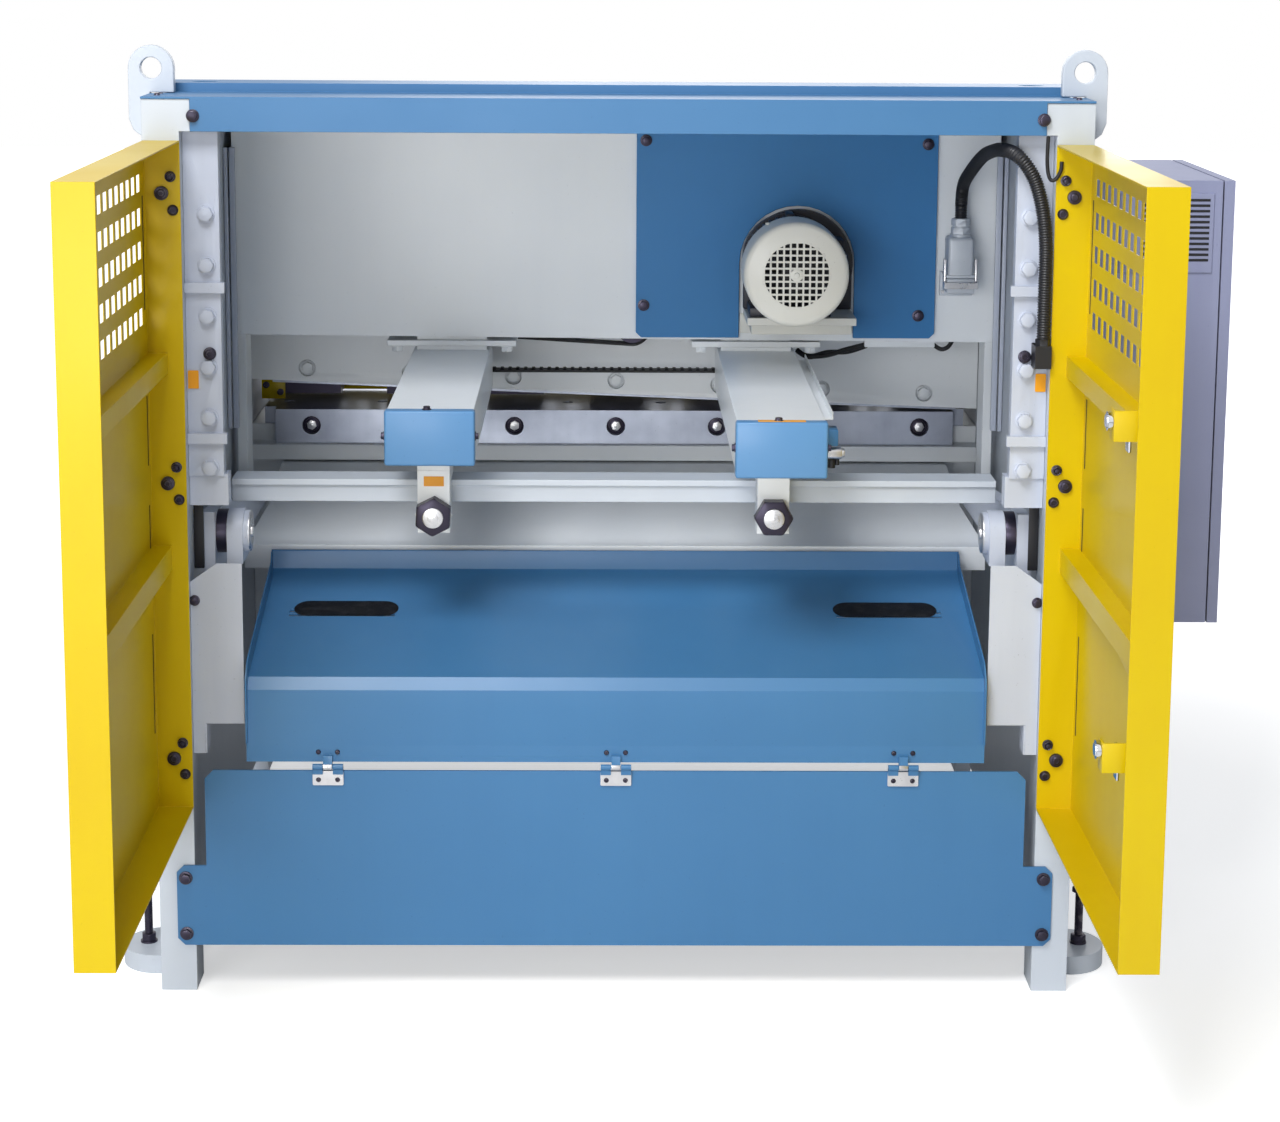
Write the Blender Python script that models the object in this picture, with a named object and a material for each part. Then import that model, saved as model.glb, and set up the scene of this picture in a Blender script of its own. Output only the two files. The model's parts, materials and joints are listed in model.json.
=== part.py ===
"""Guillotine shear seen from its back: side frames, moving ram with a raked blade, back gauge on two
arms, swing chute, rear doors and control cabinet. Metres, +Z up, -Y is the back of the machine and
+Y the side where the operator stands."""

import math

import bmesh
import bpy
import numpy as np
from mathutils import Matrix, Vector

for old in list(bpy.data.objects):
    bpy.data.objects.remove(old, do_unlink=True)

# ---------------------------------------------------------------- driving sizes (metres)
GAP = 0.0003                      # clearance between neighbouring solids

FRAME_W = 1.271                   # over the side frames
FRAME_H = 1.247                   # floor to the top of the side frames
FRAME_D = 1.160                   # back post to the front foot
SIDE_T = 0.028                    # side plate thickness
POST_W = 0.050                    # back post, seen from the back
POST_D = 0.060

COVER_LIP_H = 0.043
COVER_D = 0.380
LID_RISE = 0.012
LID_END = 0.190                   # front edge of the raised lid

EYE_R = 0.031
EYE_HOLE_R = 0.0145
EYE_UP = 0.037                    # eye hole above the side frames
EYE_T = 0.015

BLADE_L = 1.130
BLADE_H = 0.057
BLADE_T = 0.0247
BLADE_TOP = 0.683                 # also the table height
CUT_Y = 0.7963                    # back face of the lower blade
BLADE_SLIT = 0.0003
RAKE = 0.0376                     # fall of the upper blade per metre of X
EDGE_MID_Z = 0.712                # upper edge height at X = 0

RAM_SIDE_GAP = 0.0115             # between the ram and each side plate
RAM_BACK_Y = 0.560
RAM_TOP_DROP = 0.057              # top of the ram under the top of the frames
RAM_BOTTOM_Z = 0.841
RAM_FALL = 0.0068
RAM_PLATE_T = 0.018
RAM_FRONT_Y = 0.745
BLADE_BOLT_END = 0.0583           # first blade bolt from the blade's end
BLADE_BOLTS = 7

ARM_L_X = -0.257                  # middle of the left gauge arm
ARM_R_X = 0.220
ARM_W = 0.120
ARM_H = 0.073
ARM_TOP_Z = 0.821
ARM_NEAR_Y = 0.041
ARM_FAR_Y = 0.652
ARM_R_REACH = 0.075               # the right arm stands out this much further
FLANGE_UP = 0.0065                # flange under the ram, above the top of the arm
FLANGE_T = 0.009
ARM_WALL = 0.006
CAP_T = 0.018

SCREW_DROP = 0.024                # gauge screw under the top of the arm
SCREW_R = 0.010
PULLEY_R = 0.028
PULLEY_Y = 0.688
PULLEY_L = 0.026
IDLER_X = 0.027
IDLER_Z = 0.838
IDLER_R = 0.030

GAUGE_Y = 0.150                   # back face of the gauge beam at rest
GAUGE_D = 0.055
GAUGE_TOP_Z = 0.701
GAUGE_H = 0.033
GAUGE_W = 1.086
CARRIAGE_W = 0.045
CARRIAGE_TOP_Z = 0.723
CARRIAGE_BOTTOM_Z = 0.634
NUT_R = 0.0265                    # over the corners

MOTOR_X = 0.265
MOTOR_Z = 0.972
MOTOR_BACK_Y = 0.330
COWL_R = 0.080
COWL_L = 0.062
MOTOR_R = 0.068
SHAFT_R = 0.0095

CHUTE_SIDE_GAP = 0.0035           # between the chute and each side cover
CHUTE_TOP = (0.300, 0.562)        # (Y, Z) of the back edge
CHUTE_T = 0.003
PIVOT_Y = -0.0085                 # chute hinge line
PIVOT_Z = 0.329
PIVOT_R = 0.004

PANEL_INSET = 0.0165              # panel edge inside the posts
PANEL_TOP = 0.322
PANEL_BOTTOM = 0.068
EAR_INSET = 0.025                 # panel ears inside the frames
EAR_TOP = 0.184
PANEL_T = 0.0035

DOOR_MEET = 0.002                 # closing edge short of the machine's middle
DOOR_BOTTOM = 0.267
DOOR_TOP_DROP = 0.055             # door top under the top of the frames
DOOR_PIVOT_OUT = 0.0125           # hinge line behind the posts, clear of the chute hinges
DOOR_T = 0.0022
SKIN_T = 0.0015                   # the door's outer sheet
VENT_W = 0.026
VENT_H = 0.023
VENT_PITCH = 0.0385
DOOR_FACE = 0.0015                # door flange off the post

CABINET_GAP = 0.0145              # between the cabinet and the side plate
CABINET_W = 0.199
CABINET_DOOR_T = 0.015
CABINET_Y = 0.162
CABINET_D = 0.343
CABINET_BOTTOM = 0.492
CABINET_TOP = 1.130

PAD_R = 0.055
PAD_T = 0.027
PAD_OUT = 0.0165                  # pad centre outside the side plate
PAD_Y = (0.113, 1.075)

ROCKER_Y = 0.090
ROCKER_Z = 0.640
ROCKER_PIN_Y = 0.602
ROCKER_PIN_Z = 0.590
ROCKER_GAP = 0.029                # side plate to the outer face of the rocker arm
GUIDE_BOTTOM = 0.732
GUIDE_TOP_DROP = 0.044
GUIDE_W = 0.048
COVER_IN = 0.0715                 # inner edge of a side cover from the post's inner face

half = FRAME_W / 2
side_in = half - SIDE_T
post_in = half - POST_W
pad_x = half + PAD_OUT
cabinet_x = half + CABINET_GAP
ram_half = side_in - RAM_SIDE_GAP
ram_top = FRAME_H - RAM_TOP_DROP
screw_z = ARM_TOP_Z - SCREW_DROP
door_l = post_in - DOOR_MEET
door_top = FRAME_H - DOOR_TOP_DROP

WHITE = (0.78, 0.79, 0.78, 1)
LIGHT_BLUE = (0.13, 0.31, 0.58, 1)
STEEL_BLUE = (0.07, 0.20, 0.42, 1)
YELLOW = (0.80, 0.62, 0.0, 1)
LILAC = (0.36, 0.36, 0.46, 1)
DARK = (0.03, 0.03, 0.04, 1)
STEEL = (0.45, 0.44, 0.45, 1)
CREAM = (0.70, 0.68, 0.60, 1)
GREY = (0.42, 0.43, 0.44, 1)

press = bpy.data.collections.new("guillotine_shear")
bpy.context.scene.collection.children.link(press)
cutters = bpy.data.collections.new("cutters")
bpy.context.scene.collection.children.link(cutters)
cutters.hide_render = True

root = bpy.data.objects.new("machine_root", None)
press.objects.link(root)
# The frame's origin is the middle of the footprint, on the floor.
low_x = -(pad_x + PAD_R)
high_x = cabinet_x + CABINET_W + 0.002 + CABINET_DOOR_T
low_y = -door_l - DOOR_FACE
high_y = FRAME_D + 0.085
root.location = (-(low_x + high_x) / 2, -(low_y + high_y) / 2, 0)


# ---------------------------------------------------------------- shapes
def circle(cx, cy, radius, count, start=0.0):
    return [(cx + radius * math.cos(start + 2 * math.pi * i / count),
             cy + radius * math.sin(start + 2 * math.pi * i / count)) for i in range(count)]


def slab(outline, low, high, axis="z", holes=()):
    """A flat outline with holes, run from low to high along an axis."""
    curve = bpy.data.curves.new("outline", "CURVE")
    curve.dimensions = "2D"
    curve.fill_mode = "BOTH"
    for loop in [outline, *holes]:
        spline = curve.splines.new("POLY")
        spline.points.add(len(loop) - 1)
        for point, (u, v) in zip(spline.points, loop):
            point.co = (u, v, 0, 1)
        spline.use_cyclic_u = True
    curve.extrude = (high - low) / 2
    holder = bpy.data.objects.new("outline", curve)
    cutters.objects.link(holder)
    bpy.context.view_layer.update()
    mesh = bpy.data.meshes.new_from_object(holder.evaluated_get(bpy.context.evaluated_depsgraph_get()))
    bpy.data.objects.remove(holder)
    bpy.data.curves.remove(curve)
    middle = (low + high) / 2
    turn = {"z": Matrix(((1, 0, 0, 0), (0, 1, 0, 0), (0, 0, 1, middle), (0, 0, 0, 1))),
            "x": Matrix(((0, 0, 1, middle), (1, 0, 0, 0), (0, 1, 0, 0), (0, 0, 0, 1))),
            "y": Matrix(((1, 0, 0, 0), (0, 0, -1, middle), (0, 1, 0, 0), (0, 0, 0, 1)))}[axis]
    mesh.transform(turn)
    return tidy(mesh)


def tidy(mesh):
    bm = bmesh.new()
    bm.from_mesh(mesh)
    bmesh.ops.remove_doubles(bm, verts=bm.verts, dist=1e-6)
    bmesh.ops.dissolve_degenerate(bm, dist=1e-6, edges=bm.edges)
    bmesh.ops.recalc_face_normals(bm, faces=bm.faces)
    bm.to_mesh(mesh)
    bm.free()
    return mesh


def box(x0, x1, y0, y1, z0, z1):
    return slab([(x0, y0), (x1, y0), (x1, y1), (x0, y1)], z0, z1)


def rod(cx, cy, radius, low, high, axis="z", count=20, start=0.0):
    """A round bar; cx, cy are (x, y), (x, z) or (y, z) for the axes z, y and x."""
    return slab(circle(cx, cy, radius, count, start), low, high, axis)


def mirrored(mesh):
    copy = mesh.copy()
    copy.transform(Matrix.Scale(-1, 4, Vector((1, 0, 0))))
    return tidy(copy)


def combine(pieces, cuts=()):
    """The pieces joined into one closed body, with the cuts taken out of it."""
    holder = bpy.data.objects.new("work", pieces[0])
    cutters.objects.link(holder)
    used = []
    for mesh, operation in [(m, "UNION") for m in pieces[1:]] + [(m, "DIFFERENCE") for m in cuts]:
        tool = bpy.data.objects.new("tool", mesh)
        cutters.objects.link(tool)
        used.append(tool)
        step = holder.modifiers.new(operation, "BOOLEAN")
        step.operation = operation
        step.solver = "EXACT"
        step.object = tool
    bpy.context.view_layer.update()
    mesh = bpy.data.meshes.new_from_object(holder.evaluated_get(bpy.context.evaluated_depsgraph_get()))
    for tool in [holder, *used]:
        bpy.data.objects.remove(tool)
    return tidy(mesh)


materials = {}


def add(name, mesh, colour, origin=(0, 0, 0), metallic=0.0, roughness=0.45):
    """One named sub-part, with its origin where it turns or slides from."""
    mesh.transform(Matrix.Translation(-Vector(origin)))
    mesh.name = name
    item = bpy.data.objects.new(name, mesh)
    item.location = origin
    item.parent = root
    press.objects.link(item)
    key = (tuple(colour), metallic, roughness)
    if key not in materials:
        paint = bpy.data.materials.new(f"{name}_material")
        paint.use_nodes = True
        shader = paint.node_tree.nodes["Principled BSDF"]
        shader.inputs["Base Color"].default_value = colour
        shader.inputs["Metallic"].default_value = metallic
        shader.inputs["Roughness"].default_value = roughness
        materials[key] = paint
    mesh.materials.clear()
    mesh.materials.append(materials[key])
    return item


def both(name, mesh, colour, origin=(0, 0, 0), **look):
    """A left-hand piece and its mirror image on the right."""
    right = mirrored(mesh)
    add(f"{name}_left", mesh, colour, origin, **look)
    add(f"{name}_right", right, colour, (-origin[0], origin[1], origin[2]), **look)


# ---------------------------------------------------------------- side frames, feet, lifting eyes
side_outline = [(POST_D - 0.002, 0.0), (0.190, 0.0), (0.230, 0.070), (FRAME_D - 0.230, 0.070),
                (FRAME_D - 0.190, 0.0), (FRAME_D, 0.0), (FRAME_D, 0.560), (FRAME_D - 0.085, 0.690),
                (FRAME_D - 0.085, FRAME_H - 0.105), (FRAME_D - 0.145, FRAME_H - 0.045),
                (COVER_D, FRAME_H), (POST_D - 0.002, FRAME_H)]
lip_half = post_in - 0.015
pivot_hole = circle(ROCKER_Y, ROCKER_Z, 0.0204, 20)
bolt_x = -pad_x - 0.020
reach = math.acos((pad_x - half + 0.004) / PAD_R)
pads = [slab([(-pad_x + PAD_R * math.cos(a), pad_y + PAD_R * math.sin(a))
              for a in np.linspace(reach, 2 * math.pi - reach, 30)], 0, PAD_T) for pad_y in PAD_Y]
both("side_frame", combine([
    slab(side_outline, -half, -side_in, "x", [pivot_hole]),
    box(-half, -post_in, 0, POST_D, 0, FRAME_H),
    box(-post_in - 0.001, -lip_half - GAP, 0, 0.020, FRAME_H - COVER_LIP_H, FRAME_H)] + pads,
    [rod(bolt_x, pad_y, 0.0063, -0.01, PAD_T + 0.01, count=16) for pad_y in PAD_Y]), WHITE)

eye_outer = -half - 0.0295
eye_centre = (-half + 0.0015, FRAME_H + EYE_UP)
arc = [(eye_centre[0] + EYE_R * math.cos(a), eye_centre[1] + EYE_R * math.sin(a))
       for a in np.linspace(0, math.pi, 13)]
# The eye stands on the cover's edge and hangs outside the frame, behind the back post's face.
eye_shape = ([(eye_centre[0] + EYE_R, FRAME_H + 0.004)] + arc
             + [(eye_outer, FRAME_H - 0.032), (eye_outer + 0.006, FRAME_H - 0.047), (-half - GAP, FRAME_H - 0.065),
                (-half - GAP, FRAME_H + 0.004)])
both("lifting_eye", slab(eye_shape, 0.075, 0.075 + EYE_T, "y",
                         [circle(*eye_centre, EYE_HOLE_R, 20)]), WHITE)

for row, pad_y in zip(("rear", "front"), PAD_Y):
    both(f"level_bolt_{row}", combine([
        rod(bolt_x, pad_y, 0.0060, 0.0, 0.108, count=16),
        rod(bolt_x, pad_y, 0.0110, PAD_T + GAP, PAD_T + 0.0105, count=6),
        rod(bolt_x, pad_y, 0.0110, 0.104, 0.112, count=6)]), DARK, (bolt_x, pad_y, 0), metallic=0.8)

# ---------------------------------------------------------------- top cover
top_plan = [(-half - 0.0003, -0.002), (half + 0.0003, -0.002), (half + 0.0003, 0.070),
            (half - 0.020, 0.080), (half - 0.020, COVER_D), (-half + 0.020, COVER_D),
            (-half + 0.020, 0.080), (-half - 0.0003, 0.070)]
lid_half = side_in + 0.012
hand_hole = [[(s * (side_in - 0.036) + 0.018 * math.cos(a), 0.145 + 0.010 * math.sin(a))
              for a in np.linspace(0, 2 * math.pi, 16, endpoint=False)] for s in (-1, 1)]
add("top_cover", combine([
    slab(top_plan, FRAME_H + GAP, FRAME_H + 0.0033, "z"),
    box(-lip_half, lip_half, -0.002, 0.0012, FRAME_H - COVER_LIP_H, FRAME_H + 0.002),
    slab([(-lid_half, 0.110), (lid_half, 0.110), (lid_half, LID_END), (-lid_half, LID_END)],
         FRAME_H + 0.002, FRAME_H + LID_RISE + 0.0033)],
    [slab([(-lid_half + 0.003, 0.113), (lid_half - 0.003, 0.113), (lid_half - 0.003, LID_END - 0.003),
           (-lid_half + 0.003, LID_END - 0.003)], FRAME_H - 0.010, FRAME_H + LID_RISE)]
    + [slab(h, FRAME_H + 0.005, FRAME_H + 0.030) for h in hand_hole]), LIGHT_BLUE)

front_sheet = [(COVER_D + 0.002, FRAME_H - 0.005), (FRAME_D - 0.147, FRAME_H - 0.050),
               (FRAME_D - 0.089, FRAME_H - 0.108), (FRAME_D - 0.089, 0.930), (FRAME_D - 0.092, 0.930),
               (FRAME_D - 0.092, FRAME_H - 0.109), (FRAME_D - 0.148, FRAME_H - 0.053),
               (COVER_D + 0.002, FRAME_H - 0.008)]
add("front_cover", slab(front_sheet, -side_in + GAP, side_in - GAP, "x"), WHITE)

# ---------------------------------------------------------------- bed, table, lower blade, apron
bed_half = side_in - GAP
bed_y = CUT_Y + BLADE_T + GAP
blade_bottom = BLADE_TOP - BLADE_H
bed_parts = [box(-bed_half, bed_half, bed_y, bed_y + 0.040, 0.160, blade_bottom + 0.028),
             box(-bed_half, bed_half, bed_y, FRAME_D + 0.080, blade_bottom - 0.006, blade_bottom + 0.028),
             box(-bed_half, bed_half, CUT_Y - 0.014, bed_y + 0.002, blade_bottom - 0.026,
                 blade_bottom - GAP)]
for x in (0.0475 - side_in, -0.190, 0.190, side_in - 0.0475):
    bed_parts.append(slab([(bed_y + 0.030, blade_bottom), (bed_y + 0.030, 0.200), (bed_y + 0.080, 0.200),
                           (FRAME_D + 0.060, 0.560), (FRAME_D + 0.060, blade_bottom)],
                          x - 0.008, x + 0.008, "x"))
add("bed", combine(bed_parts), WHITE)

table_holes = [circle(x, CUT_Y + 0.075, 0.009, 12) for x in np.linspace(-1, 1, 8) * (side_in - 0.058)]
table_half = side_in - 0.0225
add("table", slab([(-table_half, bed_y), (table_half, bed_y), (table_half, FRAME_D + 0.085),
                   (-table_half, FRAME_D + 0.085)],
                  blade_bottom + 0.0283, BLADE_TOP, "z", table_holes), STEEL, metallic=0.9)

blade_bolt_x = [x + 0.002 for x in np.linspace(BLADE_BOLT_END - BLADE_L / 2, BLADE_L / 2 - BLADE_BOLT_END,
                                              BLADE_BOLTS)]
add("lower_blade", slab([(-BLADE_L / 2, blade_bottom), (BLADE_L / 2, blade_bottom),
                         (BLADE_L / 2, BLADE_TOP), (-BLADE_L / 2, BLADE_TOP)], CUT_Y, CUT_Y + BLADE_T, "y",
                        [circle(x, blade_bottom + 0.030, 0.0155, 16) for x in blade_bolt_x]),
    STEEL, metallic=0.9)
apron_top = [(CHUTE_TOP[0] + 0.016, 0.566), (0.600, 0.566), (CUT_Y - 0.030, blade_bottom - 0.030),
             (bed_y - GAP, blade_bottom - 0.030)]
apron_low = [(bed_y - GAP, blade_bottom - 0.034), (CUT_Y - 0.029, blade_bottom - 0.034), (0.601, 0.562),
             (CHUTE_TOP[0] + 0.020, 0.562), (CHUTE_TOP[0] + 0.020, 0.530), (CHUTE_TOP[0] + 0.016, 0.530)]
apron_half = side_in - ROCKER_GAP - 0.026    # inside the rocker arms
add("apron", slab(apron_top + apron_low, -apron_half, apron_half, "x"), WHITE)

# ---------------------------------------------------------------- guide plates and side covers
guide_in = -post_in + GUIDE_W
guide_top = FRAME_H - GUIDE_TOP_DROP
guide = [(-post_in + GAP, GUIDE_BOTTOM), (guide_in, GUIDE_BOTTOM), (guide_in, guide_top),
         (-post_in + GAP, guide_top)]
both("guide_plate", combine([
    slab(guide, 0.022, 0.040, "y"),
    *[box(-post_in + GAP, guide_in + 0.006, 0.014, 0.024, z, z + 0.014)
      for z in (guide_top - 0.218, GUIDE_BOTTOM + 0.046)],
    box(-post_in + GAP, -post_in + 0.053, 0.026, 0.052, GUIDE_BOTTOM - 0.042, GUIDE_BOTTOM + 0.002),
    *[rod(-post_in + 0.030, z, 0.0106, 0.0135, 0.024, "y", 6)
      for z in np.linspace(guide_top - 0.111, GUIDE_BOTTOM + 0.0115, 6)]]), LILAC)

cover_x = -post_in + COVER_IN
fold_x = -post_in + 0.017
both("side_cover", combine([
    slab([(-post_in + GAP, 0.342), (fold_x, 0.342), (fold_x, 0.385), (cover_x, 0.385), (cover_x, 0.612),
          (cover_x - 0.035, 0.612), (-post_in + GAP, 0.586)], 0.010, 0.012, "y"),
    box(fold_x - 0.001, fold_x + 0.002, 0.011, 0.045, 0.342, 0.588),
    box(fold_x - 0.001, cover_x, 0.011, 0.045, 0.384, 0.387)],
    [rod(cover_x - 0.020, 0.028, 0.006, 0.370, 0.400, count=12)]), WHITE)

# ---------------------------------------------------------------- rear panel and swing chute
panel_half, ear_half = post_in - PANEL_INSET, half - EAR_INSET
hinge_x = (0.171 - panel_half, 0.0, panel_half - 0.171)
panel_right = [(ear_half - 0.010, PANEL_BOTTOM), (ear_half, PANEL_BOTTOM + 0.010), (ear_half, EAR_TOP - 0.010),
               (ear_half - 0.010, EAR_TOP), (panel_half, EAR_TOP), (panel_half, PANEL_TOP - 0.012),
               (panel_half - 0.012, PANEL_TOP)]
panel_outline = panel_right + [(-x, z) for x, z in reversed(panel_right)]
knuckle = 0.014
panel_pieces = [slab(panel_outline, -PANEL_T, -GAP, "y")]
for x in hinge_x:
    panel_pieces.append(box(x - 0.021, x + 0.021, -PANEL_T - 0.0015, -PANEL_T + 0.001, 0.305, 0.3210))
    for side in (-1, 1):
        a, b = x + side * knuckle - 0.007, x + side * knuckle + 0.007
        panel_pieces.append(box(a, b, -0.0095, -PANEL_T + 0.0005, 0.318, PIVOT_Z))
        panel_pieces.append(rod(PIVOT_Y, PIVOT_Z, PIVOT_R, a, b, "x", 14))
    panel_pieces.append(rod(PIVOT_Y, PIVOT_Z, 0.0018, x - 0.019, x + 0.019, "x", 10))
add("rear_panel", combine(panel_pieces), STEEL_BLUE)

chute_half = post_in - COVER_IN - CHUTE_SIDE_GAP
slot_x = chute_half - 0.1155
chute_front = [(-0.0035, 0.3345), (-0.0035, 0.357), (0.000, 0.436), (0.010, 0.452), (0.290, 0.524),
               (CHUTE_TOP[0], 0.534), CHUTE_TOP]
chute_back = [(CHUTE_TOP[0] + CHUTE_T, CHUTE_TOP[1]), (CHUTE_TOP[0] + CHUTE_T, 0.531), (0.2915, 0.521),
              (0.012, 0.449), (0.0035, 0.436), (-0.0005, 0.357), (-0.0005, 0.3345)]
flange = [(0.0015, 0.4365), (0.0115, 0.4505), (0.2905, 0.5225), (0.3010, 0.533), (0.3010, 0.560), (0.294, 0.560),
          (0.284, 0.546), (0.012, 0.474), (-0.006, 0.456), (-0.010, 0.445), (-0.010, 0.362), (-0.0015, 0.360)]
chute_pieces = [slab(chute_front + chute_back, -chute_half, chute_half, "x")]
for side in (-1, 1):
    x0, x1 = sorted((side * chute_half, side * (chute_half - 0.002)))
    chute_pieces.append(slab(flange, x0, x1, "x"))
chute_cuts = [box(side * slot_x - 0.0760, side * slot_x + 0.0760, y, y + 0.0075, 0.440, 0.560)
              for side in (-1, 1) for y in (0.1750, 0.1870)]
for x in hinge_x:
    chute_pieces.append(box(x - 0.0063, x + 0.0063, -0.0105, -0.0030, PIVOT_Z, 0.345))
    chute_pieces.append(rod(PIVOT_Y, PIVOT_Z, PIVOT_R, x - 0.0063, x + 0.0063, "x", 14))
    chute_cuts.append(rod(PIVOT_Y, PIVOT_Z, 0.0022, x - 0.02, x + 0.02, "x", 10))
add("chute", combine(chute_pieces, chute_cuts), STEEL_BLUE, (0, PIVOT_Y, PIVOT_Z))

# ---------------------------------------------------------------- ram, upper blade, ram cover
def ram_edge(x):
    return RAM_BOTTOM_Z - RAM_FALL * x


def blade_edge(x):
    return EDGE_MID_Z - RAKE * x


def ram_crown(x):
    return ram_top


def raked(x, low, high, under, over):
    """The four corners of a strip between two sloping heights."""
    return [(-x, under(-x) + low), (x, under(x) + low), (x, over(x) + high), (-x, over(-x) + high)]


ram_pieces = [slab(raked(ram_half, 0, 0, ram_edge, ram_crown), RAM_BACK_Y, RAM_BACK_Y + RAM_PLATE_T, "y"),
              slab(raked(ram_half, 0, 0.014, ram_edge, ram_edge), RAM_BACK_Y, RAM_BACK_Y + 0.090, "y"),
              slab(raked(ram_half, 0.008, 0, blade_edge, ram_crown), RAM_FRONT_Y, RAM_FRONT_Y + 0.025, "y"),
              box(-ram_half, ram_half, RAM_BACK_Y, RAM_FRONT_Y + 0.025, ram_top - 0.014, ram_top)]
for x in (0.156 - ram_half, -0.090, ram_half - 0.116):
    ram_pieces.append(box(x - 0.007, x + 0.007, RAM_BACK_Y + 0.010, RAM_FRONT_Y + 0.005, 0.900,
                          ram_top - 0.002))
ram_cuts = [rod(MOTOR_X, MOTOR_Z, 0.016, RAM_BACK_Y - 0.01, RAM_BACK_Y + 0.03, "y", 20)]
for x in blade_bolt_x:
    ram_cuts.append(rod(x, blade_edge(x) + 0.030, 0.014, RAM_FRONT_Y - 0.005, RAM_FRONT_Y + 0.012, "y", 16))
add("ram", combine(ram_pieces, ram_cuts), WHITE, (0, RAM_BACK_Y, ram_top))

add("upper_blade", slab(raked(BLADE_L / 2, 0, 0.058, blade_edge, blade_edge), RAM_FRONT_Y + 0.0253,
                        CUT_Y - BLADE_SLIT, "y"), STEEL, metallic=0.9)

plate_x0, plate_x1 = MOTOR_X - 0.234, MOTOR_X + 0.233
plate_top, plate_low = ram_top - 0.010, RAM_BOTTOM_Z + 0.003
cut_x0, cut_x1 = MOTOR_X - 0.073, MOTOR_X + 0.106
cut_mid, cut_r = (cut_x0 + cut_x1) / 2, (cut_x1 - cut_x0) / 2
cover_shape = ([(plate_x0, plate_top), (plate_x0, plate_low + 0.008), (plate_x0 + 0.008, plate_low),
                (cut_x0, plate_low)]
               + [(cut_mid - cut_r * math.cos(a), MOTOR_Z - 0.010 + cut_r * math.sin(a))
                  for a in np.linspace(0, math.pi, 17)]
               + [(cut_x1, plate_low), (plate_x1 - 0.008, plate_low), (plate_x1, plate_low + 0.008),
                  (plate_x1, plate_top)])
add("ram_cover", slab(cover_shape, RAM_BACK_Y - 0.0085, RAM_BACK_Y - GAP, "y"), STEEL_BLUE)

# ---------------------------------------------------------------- gauge motor and connector
feet_z = MOTOR_Z - COWL_R
motor_y = MOTOR_BACK_Y + COWL_L + 0.003      # back end of the motor body, inside the cowl
add("motor_bracket", combine([
    box(MOTOR_X - 0.066, MOTOR_X + 0.100, motor_y + 0.045, RAM_BACK_Y - GAP, feet_z - 0.012, feet_z - GAP),
    box(MOTOR_X - 0.058, MOTOR_X + 0.096, motor_y + 0.075, RAM_BACK_Y - GAP, feet_z - 0.030, feet_z - 0.010),
    box(MOTOR_X - 0.072, MOTOR_X + 0.105, RAM_BACK_Y - 0.004, RAM_BACK_Y - GAP, feet_z - 0.041,
        feet_z - 0.010)]), CREAM)
add("motor_body", combine([
    rod(MOTOR_X, MOTOR_Z, MOTOR_R, motor_y, RAM_BACK_Y - 0.020, "y", 28),
    rod(MOTOR_X, MOTOR_Z, 0.050, RAM_BACK_Y - 0.025, RAM_BACK_Y - GAP, "y", 24),
    box(MOTOR_X - 0.062, MOTOR_X + 0.062, motor_y + 0.055, RAM_BACK_Y - 0.030, feet_z, feet_z + 0.014),
    box(MOTOR_X - 0.040, MOTOR_X + 0.040, motor_y + 0.060, RAM_BACK_Y - 0.035, feet_z + 0.010, MOTOR_Z - 0.050),
    box(MOTOR_X + 0.050, MOTOR_X + 0.094, motor_y + 0.035, RAM_BACK_Y - 0.045, MOTOR_Z - 0.020,
        MOTOR_Z + 0.050)],
    [rod(MOTOR_X, MOTOR_Z, SHAFT_R + 0.0004, motor_y - 0.015, RAM_BACK_Y + 0.01, "y", 20)]), DARK)
holes = [box(MOTOR_X + u - 0.009, MOTOR_X + u + 0.009, MOTOR_BACK_Y - 0.01, MOTOR_BACK_Y + 0.01,
             MOTOR_Z + v - 0.009, MOTOR_Z + v + 0.009)
         for u in (-0.024, 0, 0.024) for v in (-0.024, 0, 0.024) if u or v]
add("motor_cowl", combine([
    rod(MOTOR_X, MOTOR_Z, COWL_R, MOTOR_BACK_Y, MOTOR_BACK_Y + COWL_L + 0.020, "y", 32),
    ], [rod(MOTOR_X, MOTOR_Z, COWL_R - 0.0025, MOTOR_BACK_Y + 0.003, MOTOR_BACK_Y + COWL_L + 0.002, "y", 32),
        rod(MOTOR_X, MOTOR_Z, MOTOR_R + GAP, MOTOR_BACK_Y + COWL_L - 0.002, MOTOR_BACK_Y + COWL_L + 0.038, "y",
            28)]
    + holes), CREAM)
fan_blades = []
for i in range(5):
    blade = box(-0.003, 0.003, MOTOR_BACK_Y + 0.014, MOTOR_BACK_Y + 0.044, 0.010, COWL_R - 0.014)
    blade.transform(Matrix.Translation((MOTOR_X, 0, MOTOR_Z)) @ Matrix.Rotation(2 * math.pi * i / 5, 4, "Y"))
    fan_blades.append(blade)
add("motor_rotor", combine([
    rod(MOTOR_X, MOTOR_Z, SHAFT_R, MOTOR_BACK_Y + 0.012, PULLEY_Y + PULLEY_L - 0.001, "y", 20),
    rod(MOTOR_X, MOTOR_Z, 0.020, MOTOR_BACK_Y + 0.010, MOTOR_BACK_Y + 0.046, "y", 20),
    rod(MOTOR_X, MOTOR_Z, PULLEY_R, PULLEY_Y, PULLEY_Y + PULLEY_L, "y", 24)] + fan_blades), DARK,
    (MOTOR_X, MOTOR_BACK_Y + 0.020, MOTOR_Z))

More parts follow.
